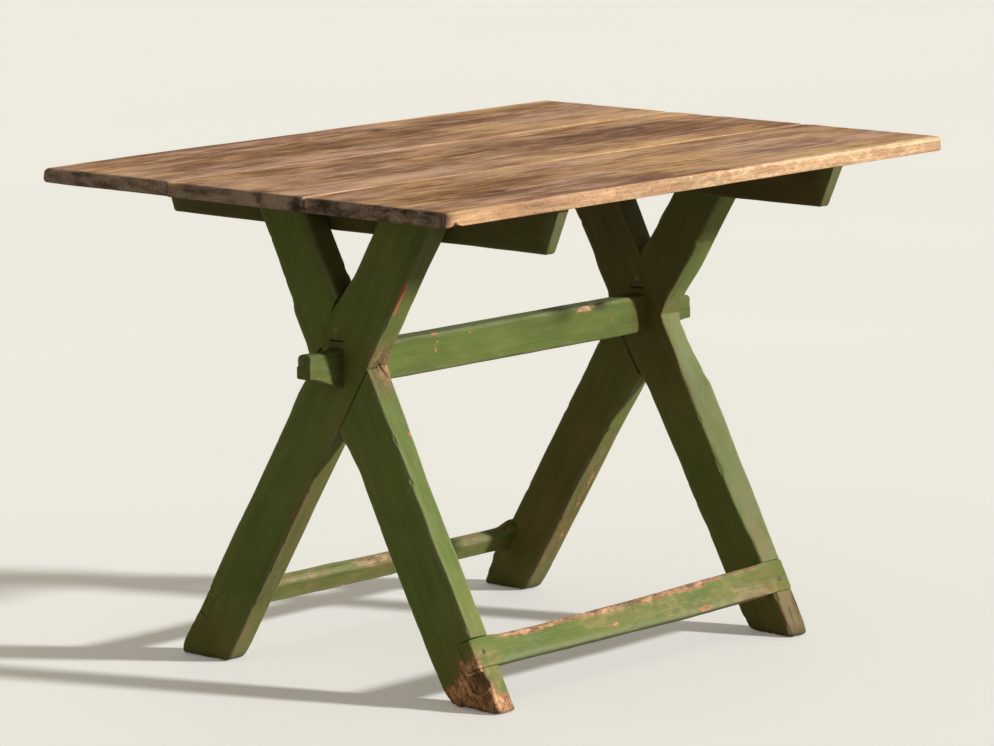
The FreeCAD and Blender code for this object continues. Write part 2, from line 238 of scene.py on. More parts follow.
def mesh_object(name, points, faces):
    """New mesh object in the scene."""
    mesh = bpy.data.meshes.new(name)
    mesh.from_pydata(points, [], faces)
    mesh.update()
    made = bpy.data.objects.new(name, mesh)
    bpy.context.scene.collection.objects.link(made)
    return made


def timber(name, points, quads, place):
    """Block of wood, moved from its own axes into the table's frame."""
    return mesh_object(name, to_table(points, place).tolist(), quads.tolist())


def solid_corners(name):
    """Corners of a node's solid, as an array."""
    return np.array([v.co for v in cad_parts[name].data.vertices])


def to_table(points, place):
    """Points moved by a placement."""
    turn = np.array(place)
    return points @ turn[:3, :3].T + turn[:3, 3]


def axes(along, through, origin):
    """Rigid placement from the grain's direction, the thickness direction and a middle."""
    along = along.normalized()
    through = through.normalized()
    across = through.cross(along)
    turn = Matrix((along, across, through)).transposed().to_4x4()
    return Matrix.Translation(origin) @ turn


def prism(name, outline, depth_axis, low, high):
    """Closed prism with a flat outline of 3D points, drawn along an axis between two places."""
    count = len(outline)
    ends = []
    for place in (low, high):
        for point in outline:
            corner = Vector(point)
            corner[depth_axis] = place
            ends.append(corner)
    faces = [list(range(count))[::-1], list(range(count, 2 * count))]
    for step in range(count):
        after = (step + 1) % count
        faces.append([step, after, after + count, step + count])
    tool = mesh_object(name, ends, faces)
    mesh = tool.data
    volume = sum(mesh.vertices[f.vertices[0]].co.dot(f.normal) * f.area for f in mesh.polygons)
    if volume < 0:
        mesh.flip_normals()
    return tool


def carve(piece, tools):
    """Cut tools out of a piece one after another, and clear the tools away."""
    for tool in tools:
        cut = piece.modifiers.new("cut", "BOOLEAN")
        cut.operation = "DIFFERENCE"
        cut.solver = "EXACT"
        cut.object = tool
        bpy.context.view_layer.update()
        shaped = piece.evaluated_get(bpy.context.evaluated_depsgraph_get())
        mesh = bpy.data.meshes.new_from_object(shaped)
        if len(mesh.polygons) < len(piece.data.polygons) // 3:
            raise RuntimeError(f"cutting {tool.name} out of {piece.name} failed")
        old = piece.data
        piece.modifiers.clear()
        piece.data = mesh
        bpy.data.meshes.remove(old)
        worn_out = tool.data
        bpy.data.objects.remove(tool)
        bpy.data.meshes.remove(worn_out)


def local_points(piece, place):
    """Vertices in a piece's own axes, as an array."""
    return to_table(world_points(piece), place.inverted())


def world_points(piece):
    """Vertices in the table's frame, as an array."""
    flat = np.empty(len(piece.data.vertices) * 3, np.float32)
    piece.data.vertices.foreach_get("co", flat)
    return flat.reshape(-1, 3).astype(float)


def store(piece, **masks):
    """Keep each mask's values at the mesh's corners, for the piece's material."""
    count = len(piece.data.vertices)
    for name, values in masks.items():
        layer = piece.data.attributes.new(name, "FLOAT", "POINT")
        layer.data.foreach_set("value", np.full(count, np.clip(values, 0, 1), np.float32))


def dress(piece, place, material, slot, *nodes, sharp=40):
    """Give a piece its grain, its finish and its place in the frame."""
    grain = piece.data.attributes.new("grain", "FLOAT_VECTOR", "POINT")
    grain.data.foreach_set("vector", local_points(piece, place).astype(np.float32).ravel())
    piece.data.polygons.foreach_set("use_smooth", [True] * len(piece.data.polygons))
    piece.data.set_sharp_from_angle(angle=math.radians(sharp))
    piece.data.name = piece.name
    piece.data.materials.clear()
    piece.data.materials.append(material)
    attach(piece, "root")
    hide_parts(*nodes)
    return piece


# Colours of the finishes that stay as they are
RED_WOOD = (0.57, 0.281, 0.173)
PALE_WOOD = (0.90, 0.668, 0.402)
COOL_WOOD = (0.97, 0.97, 1.16)
WARM_WOOD = (1.05, 1.01, 0.86)
NICK_BROWN = (0.22, 0.095, 0.055)
STAINED_END = (0.060, 0.038, 0.026)
BOARD_DIRT = (0.045, 0.030, 0.020)
KNOT_BROWN = (0.060, 0.028, 0.016)
OPEN_CHECK = (0.035, 0.022, 0.014)
BROWN_STAIN = (1.16, 0.68, 0.86)
WOOD_PIT = (0.035, 0.020, 0.012)
OPEN_SPLIT = (0.014, 0.010, 0.006)
BLACK_IRON = (0.030, 0.022, 0.017)
RUST = (0.11, 0.050, 0.025)


# Shader nodes

def node(tree, kind, inputs=None, **settings):
    """Node with its settings, and inputs that are values or sockets to link from."""
    made = tree.nodes.new("ShaderNode" + kind)
    for key, value in settings.items():
        setattr(made, key, value)
    for key, value in (inputs or {}).items():
        socket = made.inputs[key]
        if isinstance(value, bpy.types.NodeSocket):
            tree.links.new(value, socket)
        else:
            socket.default_value = value
    return made


def math_node(tree, operation, first, second=0.0, third=0.0, clamp=False):
    """Result of one step of reckoning with values."""
    made = node(tree, "Math", {0: first, 1: second, 2: third}, operation=operation, use_clamp=clamp)
    return made.outputs[0]


def times(tree, first, second):
    """Product of two values."""
    return math_node(tree, "MULTIPLY", first, second)


def less(tree, first, second):
    """Difference of two values."""
    return math_node(tree, "SUBTRACT", first, second)


def larger(tree, first, second):
    """Larger of two values."""
    return math_node(tree, "MAXIMUM", first, second)


def total(tree, first, *others):
    """Sum of several values."""
    for other in others:
        first = math_node(tree, "ADD", first, other)
    return first


def swing(tree, value, amount):
    """Noise about a half, turned into a swing about nought."""
    return times(tree, less(tree, value, 0.5), amount)


def ramp(tree, value, low, high, to_low=0.0, to_high=1.0):
    """Smooth ramp of a value from one range to another."""
    made = node(tree, "MapRange", {"Value": value, "From Min": low, "From Max": high,
                                   "To Min": to_low, "To Max": to_high},
                interpolation_type="SMOOTHSTEP")
    return made.outputs["Result"]


def vector_node(tree, operation, first, second=(0, 0, 0), scale=1.0):
    """Result of one step of reckoning with vectors."""
    inputs = {0: first, "Scale": scale} if operation == "SCALE" else {0: first}
    if operation not in ("SCALE", "LENGTH"):
        inputs[1] = second
    made = node(tree, "VectorMath", inputs, operation=operation)
    return made.outputs["Value" if operation in ("LENGTH", "DISTANCE", "DOT_PRODUCT") else "Vector"]


def seeded(tree, vector, seed, on="XYZ"):
    """Coordinates moved by a seed along the named axes."""
    shift = node(tree, "CombineXYZ", {axis: seed for axis in on})
    return vector_node(tree, "ADD", vector, shift.outputs[0])


def stretched(tree, vector, along, across):
    """Coordinates scaled so that patterns are drawn out along the grain."""
    return vector_node(tree, "MULTIPLY", vector, (along, across, across))


def noise(tree, vector, scale, detail=3.0, roughness=0.55, distortion=0.0):
    """Cloudy noise about a half."""
    made = node(tree, "TexNoise", {"Vector": vector, "Scale": scale, "Detail": detail,
                                   "Roughness": roughness, "Distortion": distortion})
    return made.outputs["Fac"]


def streaks(tree, vector, along, across, *fineness):
    """Noise drawn out along the grain."""
    return noise(tree, stretched(tree, vector, along, across), 1.0, *fineness)


def sway(tree, vector, scale, reach):
    """Slow shift of coordinates about nought."""
    slow = node(tree, "TexNoise", {"Vector": vector, "Scale": scale, "Detail": 2.0, "Roughness": 0.5})
    centred = vector_node(tree, "SUBTRACT", slow.outputs["Color"], (0.5, 0.5, 0.5))
    return vector_node(tree, "SCALE", centred, scale=reach)


def rgba(colour):
    """Colour for a socket: a link as it is, and numbers with full cover."""
    return colour if isinstance(colour, bpy.types.NodeSocket) else (*colour[:3], 1.0)


def mix(tree, factor, first, second, blend="MIX"):
    """Blend of two colours."""
    made = node(tree, "Mix", {0: factor, 6: rgba(first), 7: rgba(second)}, data_type="RGBA",
                blend_type=blend)
    return made.outputs[2]


def laid(tree, under, over, mask, share):
    """Colour laid over another where a mask is, up to a share."""
    return mix(tree, times(tree, mask, share), under, over)


def tinted(tree, colour, shade):
    """Colour made lighter or darker by a value."""
    grey = node(tree, "CombineColor", {0: shade, 1: shade, 2: shade}).outputs[0]
    return mix(tree, 1.0, colour, grey, "MULTIPLY")


def attribute(tree, name):
    """Value that is stored on the piece."""
    return node(tree, "Attribute", attribute_name=name).outputs["Fac"]


# What a finish puts out
FINISH = ("Colour", "Roughness", "Height")


def new_group(name, inputs, outputs):
    """Shader node group. An input has its default or its socket's kind; outputs are values or a colour."""
    tree = bpy.data.node_groups.new(name, "ShaderNodeTree")
    for label, given in inputs.items():
        kind = given if isinstance(given, str) else "Vector" if isinstance(given, tuple) else "Float"
        socket = tree.interface.new_socket(label, in_out="INPUT", socket_type="NodeSocket" + kind)
        if given != kind:
            socket.default_value = given
    for label in outputs:
        kind = "Color" if label == "Colour" else "Float"
        tree.interface.new_socket(label, in_out="OUTPUT", socket_type="NodeSocket" + kind)
    return tree, tree.nodes.new("NodeGroupInput").outputs, tree.nodes.new("NodeGroupOutput").inputs


def placed_group(tree, name, inputs):
    """Outputs of a shared node group, which is built when it is first needed."""
    if name not in GROUPS:
        GROUPS[name] = GROUP_MAKERS[name]()
    return node(tree, "Group", inputs, node_tree=GROUPS[name]).outputs


def pine_group():
    """Growth rings and fibre of sawn pine, as a solid pattern."""
    tree, given, put = new_group("pine_grain", {
        "Vector": "Vector", "Pith": (0.0, 0.0, -0.06),
        "Ring Width": 4.5 * MM, "Waviness": 9 * MM, "Seed": 0.0,
    }, ("Late Wood", "Fibre", "Ring Tone"))
    here = seeded(tree, given["Vector"], given["Seed"])
    bend = sway(tree, stretched(tree, here, 1.0, 3.0), 2.6, given["Waviness"])
    bent = vector_node(tree, "SUBTRACT", vector_node(tree, "ADD", given["Vector"], bend), given["Pith"])
    flat = vector_node(tree, "MULTIPLY", bent, (0.0, 1.0, 1.0))
    # The pith drifts along the board, which opens the rings into long arches.
    drift = node(tree, "SeparateXYZ", {0: bent}).outputs["X"]
    depth = node(tree, "CombineXYZ", {"Z": times(tree, drift, 0.035)}).outputs[0]
    reach = vector_node(tree, "LENGTH", vector_node(tree, "ADD", flat, depth))
    rings = math_node(tree, "DIVIDE", reach, given["Ring Width"])
    ragged = streaks(tree, here, 6.0, 160.0, 2.0)
    rings = total(tree, rings, times(tree, ragged, 0.35))
    part = math_node(tree, "FRACT", rings)
    rise = ramp(tree, part, 0.35, 0.9)
    fall = ramp(tree, part, 0.93, 1.0, 1.0, 0.0)
    tree.links.new(times(tree, rise, fall), put["Late Wood"])
    tone = node(tree, "TexWhiteNoise", {"W": math_node(tree, "FLOOR", rings)}, noise_dimensions="1D")
    tree.links.new(tone.outputs["Value"], put["Ring Tone"])
    fibre = streaks(tree, here, 9.0, 520.0, 4.0, 0.65)
    tree.links.new(fibre, put["Fibre"])
    return tree


def check_group():
    """Fine drying cracks along the grain."""
    tree, given, put = new_group("drying_checks", {
        "Vector": "Vector", "Amount": 0.5, "Seed": 0.0,
    }, ("Crack",))
    here = seeded(tree, given["Vector"], given["Seed"], "XZ")
    line = noise(tree, vector_node(tree, "MULTIPLY", here, (4.5, 230.0, 60.0)), 1.0, 2.0, 0.5, 0.3)
    where = streaks(tree, here, 3.0, 14.0, 2.0)
    close = math_node(tree, "ABSOLUTE", less(tree, line, 0.5))
    thin = ramp(tree, close, 0.012, 0.030, 1.0, 0.0)
    limit = less(tree, 0.78, times(tree, given["Amount"], 0.35))
    patch = ramp(tree, less(tree, where, limit), 0.0, 0.08)
    tree.links.new(times(tree, thin, patch), put["Crack"])
    return tree


def split_group():
    """One split between two points, wandering a little and closing towards its end."""
    tree, given, put = new_group("single_split", {
        "Vector": "Vector", "Start": "Vector", "End": "Vector",
        "Width": 1 * MM, "Wander": 3 * MM,
    }, ("Crack",))
    stray = sway(tree, given["Vector"], 60.0, given["Wander"])
    here = vector_node(tree, "SUBTRACT", vector_node(tree, "ADD", given["Vector"], stray), given["Start"])
    run = vector_node(tree, "SUBTRACT", given["End"], given["Start"])
    share = math_node(tree, "DIVIDE", vector_node(tree, "DOT_PRODUCT", here, run),
                      vector_node(tree, "DOT_PRODUCT", run, run), clamp=True)
    gap = vector_node(tree, "DISTANCE", here, vector_node(tree, "SCALE", run, scale=share))
    half = times(tree, given["Width"], less(tree, 1.15, share))
    tree.links.new(ramp(tree, math_node(tree, "DIVIDE", gap, half), 0.35, 1.0, 1.0, 0.0), put["Crack"])
    return tree


def loss_group():
    """Where old paint is rubbed thin, shows its undercoat, or is gone."""
    tree, given, put = new_group("paint_loss", {
        "Vector": "Vector", "Arris": 0.0, "Undercoat": 0.0,
        "Bare": 0.0, "Wear": 0.5, "Seed": 0.0,
    }, ("Rubbed", "Undercoat", "Bare", "Flake"))
    here = seeded(tree, given["Vector"], given["Seed"])
    drawn = stretched(tree, here, 0.35, 1.0)
    broad = noise(tree, drawn, 34.0, 4.0, 0.6)
    fine = noise(tree, drawn, 190.0, 4.0, 0.65)
    ragged = swing(tree, total(tree, times(tree, broad, 0.55), times(tree, fine, 0.45)), 1.9)
    rubbed = total(tree, times(tree, given["Arris"], given["Wear"]), ragged)
    tree.links.new(ramp(tree, rubbed, 0.10, 0.70), put["Rubbed"])
    gone = total(tree, given["Bare"], times(tree, ragged, 0.85))
    gone_mask = ramp(tree, gone, 0.47, 0.53)
    tree.links.new(gone_mask, put["Bare"])
    red = total(tree, given["Undercoat"], times(tree, ragged, 1.1))
    rim = ramp(tree, gone, 0.40, 0.46, 0.0, 0.7)
    red_mask = larger(tree, ramp(tree, red, 0.44, 0.60), rim)
    tree.links.new(red_mask, put["Undercoat"])
    tree.links.new(larger(tree, red_mask, gone_mask), put["Flake"])
    return tree


def dirt_group():
    """A stored mask of dirt and painted shade, broken up by cloudy noise, with small specks."""
    tree, given, put = new_group("gathered_dirt", {
        "Vector": "Vector", "Mask": 0.0, "Specks": 0.3,
        "Seed": 0.0,
    }, ("Dirt",))
    here = seeded(tree, given["Vector"], given["Seed"], "YZ")
    cloud = noise(tree, here, 30.0, 5.0, 0.6)
    spread = times(tree, given["Mask"], total(tree, cloud, 0.5))
    speck = times(tree, ramp(tree, noise(tree, here, 190.0, 2.0, 0.5), 0.72, 0.80), given["Specks"])
    tree.links.new(math_node(tree, "ADD", spread, speck, clamp=True), put["Dirt"])
    return tree


def knot_group():
    """Dark knot drawn out along the grain, with a soft halo."""
    tree, given, put = new_group("pine_knot", {
        "Vector": "Vector", "Middle": "Vector", "Radius": 9 * MM,
    }, ("Core", "Halo"))
    off = vector_node(tree, "SUBTRACT", given["Vector"], given["Middle"])
    off = vector_node(tree, "MULTIPLY", off, (0.5, 1.0, 0.5))
    reach = math_node(tree, "DIVIDE", vector_node(tree, "LENGTH", off), given["Radius"])
    ragged = noise(tree, given["Vector"], 150.0, 3.0)
    reach = total(tree, reach, swing(tree, ragged, 1.4))
    tree.links.new(ramp(tree, reach, 0.6, 1.0, 1.0, 0.0), put["Core"])
    tree.links.new(ramp(tree, reach, 0.9, 2.6, 1.0, 0.0), put["Halo"])
    return tree


def boards_group():
    """Old bare pine: rings, dark fields, honey streaks, rubbed edges and grey ends."""
    tree, given, put = new_group("weathered_pine", {
        "Vector": "Vector", "Pith": (0.0, 0.0, -0.06), "Seed": 0.0,
        "Tone": 0.5, "Rubbed": 0.0, "End": 0.0, "Grime": 0.0,
        "Crack": 0.0, "Knot": 0.0, "Weathered": "Color",
        "Late Wood": "Color", "Early Wood": "Color", "Rubbed Edge": "Color",
        "End Grain": "Color",
    }, FINISH)
    rubbed = given["Rubbed"]
    shared = {name: given[name] for name in ("Vector", "Seed")}
    pine = placed_group(tree, "pine", {
        **shared, "Pith": given["Pith"], "Ring Width": 7 * MM, "Waviness": 26 * MM})
    here = seeded(tree, given["Vector"], given["Seed"])
    field = streaks(tree, here, 2.0, 11.0, 4.0, 0.6, 0.6)
    streak = streaks(tree, here, 3.6, 36.0, 6.0, 0.66, 0.5)
    dash = streaks(tree, here, 13.0, 120.0, 5.0, 0.70, 0.4)
    blotch = streaks(tree, here, 8.0, 26.0, 6.0, 0.68, 0.3)
    tone = total(tree, given["Tone"], swing(tree, field, 1.3), swing(tree, streak, 0.8),
                 swing(tree, dash, 1.2), swing(tree, blotch, 1.6))
    wood = mix(tree, ramp(tree, tone, 0.02, 0.42), given["Weathered"], given["Late Wood"])
    wood = mix(tree, ramp(tree, tone, 0.36, 0.70), wood, given["Early Wood"])
    wood = mix(tree, ramp(tree, tone, 0.64, 1.10), wood, given["Rubbed Edge"])
    hue = ramp(tree, streaks(tree, here, 2.6, 15.0, 3.0, 0.55, 0.5), 0.36, 0.64)
    wood = mix(tree, 1.0, wood, mix(tree, hue, COOL_WOOD, WARM_WOOD), "MULTIPLY")
    line = streaks(tree, here, 9.0, 85.0, 5.0, 0.66, 0.6)
    wood = laid(tree, wood, given["Weathered"], ramp(tree, line, 0.60, 0.64), 0.58)
    wood = laid(tree, wood, given["Rubbed Edge"], ramp(tree, line, 0.39, 0.35), 0.48)
    late = times(tree, pine["Late Wood"], math_node(tree, "MULTIPLY_ADD", pine["Ring Tone"], 0.5, 0.25))
    wood = tinted(tree, wood, ramp(tree, late, 0.0, 1.0, 1.10, 0.50))
    # Rubbed edges are honey-coloured, with reddish clouds, pale cream spots that also serve as a painted
    # highlight, and nicks.
    rub = total(tree, rubbed, swing(tree, streak, 0.7), swing(tree, blotch, 0.7))
    wood = laid(tree, wood, given["Rubbed Edge"], ramp(tree, rub, 0.25, 0.95), 0.92)
    patch = streaks(tree, here, 55.0, 120.0, 6.0, 0.72)
    red = times(tree, ramp(tree, patch, 0.46, 0.56), rubbed)
    red = times(tree, red, ramp(tree, rubbed, 0.70, 0.95, 0.85, 0.45))
    wood = mix(tree, red, wood, RED_WOOD)
    most = times(tree, ramp(tree, rubbed, 0.84, 1.0), 0.2)
    pale = ramp(tree, less(tree, patch, most), 0.47, 0.34)
    pale = times(tree, pale, ramp(tree, rubbed, 0.60, 0.90))
    wood = laid(tree, wood, PALE_WOOD, pale, 0.75)
    nick = ramp(tree, streaks(tree, here, 150.0, 330.0, 3.0, 0.6), 0.57, 0.65)
    nick = times(tree, times(tree, nick, ramp(tree, rubbed, 0.72, 0.96, 1.0, 0.45)), rubbed)
    wood = laid(tree, wood, NICK_BROWN, nick, 0.8)
    wood = tinted(tree, wood, ramp(tree, pine["Fibre"], 0.25, 0.75, 0.74, 1.18))
    # The ends are grey and spotted.
    smear = noise(tree, vector_node(tree, "MULTIPLY", here, (30.0, 24.0, 75.0)), 1.0, 6.0, 0.68)
    spotted = total(tree, 0.17, given["Tone"], swing(tree, smear, 2.5), swing(tree, pine["Fibre"], 0.5))
    ends = mix(tree, ramp(tree, spotted, 0.05, 0.95), STAINED_END, given["End Grain"])
    ends = tinted(tree, ends, ramp(tree, late, 0.0, 1.0, 1.05, 0.72))
    wood = mix(tree, given["End"], wood, ends)
    dirt = placed_group(tree, "dirt", {**shared, "Mask": given["Grime"], "Specks": 0.6})["Dirt"]
    wood = laid(tree, wood, BOARD_DIRT, dirt, 0.8)
    wood = laid(tree, wood, KNOT_BROWN, given["Knot"], 0.6)
    check = placed_group(tree, "checks", {**shared, "Amount": 0.62})["Crack"]
    crack = larger(tree, times(tree, check, 0.8), given["Crack"])
    wood = laid(tree, wood, OPEN_CHECK, crack, 0.9)
    tree.links.new(wood, put["Colour"])
    tree.links.new(ramp(tree, pine["Fibre"], 0.2, 0.8, 0.66, 0.86), put["Roughness"])
    height = total(tree, times(tree, pine["Late Wood"], 0.35), times(tree, pine["Fibre"], 0.5),
                   times(tree, streak, 0.5), times(tree, crack, -1.6), times(tree, given["Knot"], -0.4))
    tree.links.new(height, put["Height"])
    return tree


def paint_group():
    """Old green paint over a red coat and bare pine, with chalk on edges, stains and dirt; the chalk also
    carries painted light and the darkening painted shade.
    """
    tree, given, put = new_group("old_green_paint", {
        "Vector": "Vector", "Seed": 0.0, "Arris": 0.0, "Undercoat": 0.0,
        "Bare": 0.0, "Grime": 0.0, "Crack": 0.0, "Wear": 0.55,
        "Brown": 0.0, "Thin": 0.06, "Pits": 0.35, "Paint": "Color",
        "Chalked Paint": "Color", "Red Coat": "Color", "Bare Wood": "Color",
        "Dirt": "Color",
    }, FINISH)
    shared = {name: given[name] for name in ("Vector", "Seed")}
    pine = placed_group(tree, "pine", {**shared, "Ring Width": 4.2 * MM})
    loss = placed_group(tree, "loss", {
        **shared, **{name: given[name] for name in ("Arris", "Undercoat", "Bare", "Wear")}})
    here = seeded(tree, given["Vector"], given["Seed"])
    cloud = noise(tree, stretched(tree, here, 0.55, 1.0), 13.0, 5.0, 0.62)
    brush = streaks(tree, here, 9.0, 240.0, 3.0, 0.6)
    run = streaks(tree, here, 5.0, 60.0, 4.0, 0.6, 0.4)
    tint = total(tree, 1.0, swing(tree, cloud, 0.9), swing(tree, run, 0.7), swing(tree, brush, 0.4))
    paint = tinted(tree, given["Paint"], tint)
    stain = total(tree, given["Brown"], swing(tree, cloud, 1.0), swing(tree, run, 0.5))
    stain = times(tree, ramp(tree, stain, 0.0, 0.8), 0.9)
    # Chalk where the arris mask rubs the paint; that mask also holds painted light.
    paint = laid(tree, paint, given["Chalked Paint"], loss["Rubbed"], 0.8)
    paint = mix(tree, stain, paint, BROWN_STAIN, "MULTIPLY")
    # Bare wood is blotched and pitted.
    bare = tinted(tree, given["Bare Wood"], ramp(tree, pine["Late Wood"], 0.0, 1.0, 1.0, 0.72))
    short = stretched(tree, here, 0.6, 1.0)
    blotch = noise(tree, short, 75.0, 5.0, 0.65)
    bare = tinted(tree, bare, ramp(tree, blotch, 0.36, 0.64, 0.46, 1.48))
    bare = tinted(tree, bare, ramp(tree, pine["Fibre"], 0.25, 0.75, 0.82, 1.12))
    pit = times(tree, ramp(tree, noise(tree, short, 330.0, 3.0, 0.6), 0.52, 0.66), given["Pits"])
    bare = mix(tree, pit, bare, WOOD_PIT)
    worn = total(tree, 0.5, swing(tree, pine["Fibre"], 0.3), swing(tree, cloud, 0.9),
                 times(tree, given["Thin"], 0.12))
    worn = times(tree, ramp(tree, worn, 0.46, 0.62), given["Thin"])
    colour = mix(tree, worn, paint, bare)
    scuff = placed_group(tree, "checks", {"Vector": given["Vector"], "Amount": 0.30,
                                          "Seed": total(tree, given["Seed"], 5.0)})["Crack"]
    colour = laid(tree, colour, given["Chalked Paint"], scuff, 0.35)
    colour = mix(tree, loss["Undercoat"], colour, given["Red Coat"])
    colour = mix(tree, loss["Bare"], colour, bare)
    # The stored mask brings dirt and painted shade.
    dirt = placed_group(tree, "dirt", {**shared, "Mask": given["Grime"], "Specks": 0.35})["Dirt"]
    colour = laid(tree, colour, given["Dirt"], dirt, 0.85)
    colour = laid(tree, colour, OPEN_SPLIT, given["Crack"], 0.92)
    tree.links.new(colour, put["Colour"])
    tree.links.new(total(tree, 0.55, times(tree, cloud, 0.2), times(tree, loss["Flake"], 0.2)), put["Roughness"])
    height = total(tree, times(tree, brush, 0.30), times(tree, cloud, 0.6), times(tree, run, 0.3),
                   times(tree, loss["Flake"], -0.5), times(tree, times(tree, pit, loss["Bare"]), -1.2),
                   times(tree, given["Crack"], -2.0))
    tree.links.new(height, put["Height"])
    return tree


GROUP_MAKERS = {"pine": pine_group, "checks": check_group, "split": split_group, "loss": loss_group,
                "dirt": dirt_group, "knot": knot_group, "boards": boards_group, "paint": paint_group}
GROUPS = {}


def finished(tree, shader, look, bump_height, gloss):
    """Lead a finish's colour, roughness and height into its shader."""
    tree.links.new(look["Colour"], shader.inputs["Base Color"])
    tree.links.new(look["Roughness"], shader.inputs["Roughness"])
    bumped(tree, shader, look["Height"], bump_height)
    shader.inputs["Specular IOR Level"].default_value = gloss


def bumped(tree, shader, height, distance):
    """Let a height show as relief."""
    bump = node(tree, "Bump", {"Height": height, "Strength": 0.5, "Distance": distance})
    tree.links.new(bump.outputs[0], shader.inputs["Normal"])


def new_material(name):
    """Material with its Principled shader and coordinates that follow the grain."""
    material = bpy.data.materials.new(name)
    material.use_nodes = True
    tree = material.node_tree
    shader = tree.nodes["Principled BSDF"]
    grain = node(tree, "Attribute", attribute_name="grain").outputs["Vector"]
    return material, tree, shader, grain


def split_lines(tree, grain, splits):
    """Strongest of several splits, each (start, end, width) in millimetres."""
    widest = None
    for start, end, width in splits:
        crack = placed_group(tree, "split", {
            "Vector": grain, "Start": tuple(v * MM for v in start), "End": tuple(v * MM for v in end),
            "Width": width * MM})["Crack"]
        widest = crack if widest is None else larger(tree, widest, crack)
    return widest


def pine_material(name, seed, pith, splits, knots):
    """Old bare pine of the top, with this board's own splits and knots."""
    look = bpy.context.scene.table_top
    material, tree, shader, grain = new_material(name)
    inputs = {"Vector": grain, "Pith": pith, "Seed": seed, "Weathered": rgba(look.weathered),
              "Late Wood": rgba(look.late_wood), "Early Wood": rgba(look.early_wood),
              "Rubbed Edge": rgba(look.fresh), "End Grain": rgba(look.end_grain),
              "Crack": split_lines(tree, grain, splits)}
    for mask in ("Tone", "Rubbed", "End", "Grime"):
        inputs[mask] = attribute(tree, mask.lower())
    for middle, radius in knots:
        knot = placed_group(tree, "knot", {
            "Vector": grain, "Middle": tuple(v * MM for v in middle), "Radius": radius * MM})
        inputs["Knot"] = larger(tree, inputs.get("Knot", 0.0), knot["Core"])
        inputs["Tone"] = less(tree, inputs["Tone"], times(tree, knot["Halo"], 0.3))
    finished(tree, shader, placed_group(tree, "boards", inputs), 0.6 * MM, 0.10)
    return material


def paint_material(name, seed, wear=0.55, brown=0.0, thin=0.04, pits=0.35, chalk=1.0, shade=1.0,
                   raw=(1.0, 1.0, 1.0), splits=()):
    """Old green paint over a red undercoat and bare pine."""
    look = bpy.context.scene.table_base
    material, tree, shader, grain = new_material(name)
    inputs = {"Vector": grain, "Seed": seed, "Wear": wear, "Pits": pits,
              "Brown": total(tree, attribute(tree, "stain"), brown),
              "Thin": total(tree, attribute(tree, "thin"), thin),
              "Paint": rgba([shade * c for c in look.paint]),
              "Chalked Paint": rgba([chalk * c for c in look.chalked]),
              "Red Coat": rgba(look.undercoat),
              "Bare Wood": rgba([a * b for a, b in zip(raw, look.bare)]),
              "Dirt": rgba(look.grime)}
    for mask in ("Arris", "Undercoat", "Bare", "Grime"):
        inputs[mask] = attribute(tree, mask.lower())
    if splits:
        inputs["Crack"] = split_lines(tree, grain, splits)
    finished(tree, shader, placed_group(tree, "paint", inputs), 0.8 * MM, 0.12)
    return material


def painted(piece, place, node_name, seed, **finish):
    """Dress a piece in green paint of its own."""
    material = paint_material(f"green_paint_{node_name}", seed, **finish)
    dress(piece, place, material, "green_painted_pine", node_name)


def iron_material():
    """Dark rusted nail iron under remains of paint."""
    look = bpy.context.scene.table_base
    material, tree, shader, grain = new_material("nail_iron")
    rust = noise(tree, grain, 900.0, 4.0, 0.65)
    left = ramp(tree, noise(tree, grain, 420.0, 3.0), 0.48, 0.56)
    colour = mix(tree, ramp(tree, rust, 0.35, 0.65), BLACK_IRON, RUST)
    tree.links.new(laid(tree, colour, look.paint, left, 0.6), shader.inputs["Base Color"])
    tree.links.new(ramp(tree, rust, 0.3, 0.7, 0.55, 0.85), shader.inputs["Roughness"])
    tree.links.new(ramp(tree, left, 0.0, 1.0, 0.7, 0.0), shader.inputs["Metallic"])
    bumped(tree, shader, rust, 0.3 * MM)
    return material


# Legs

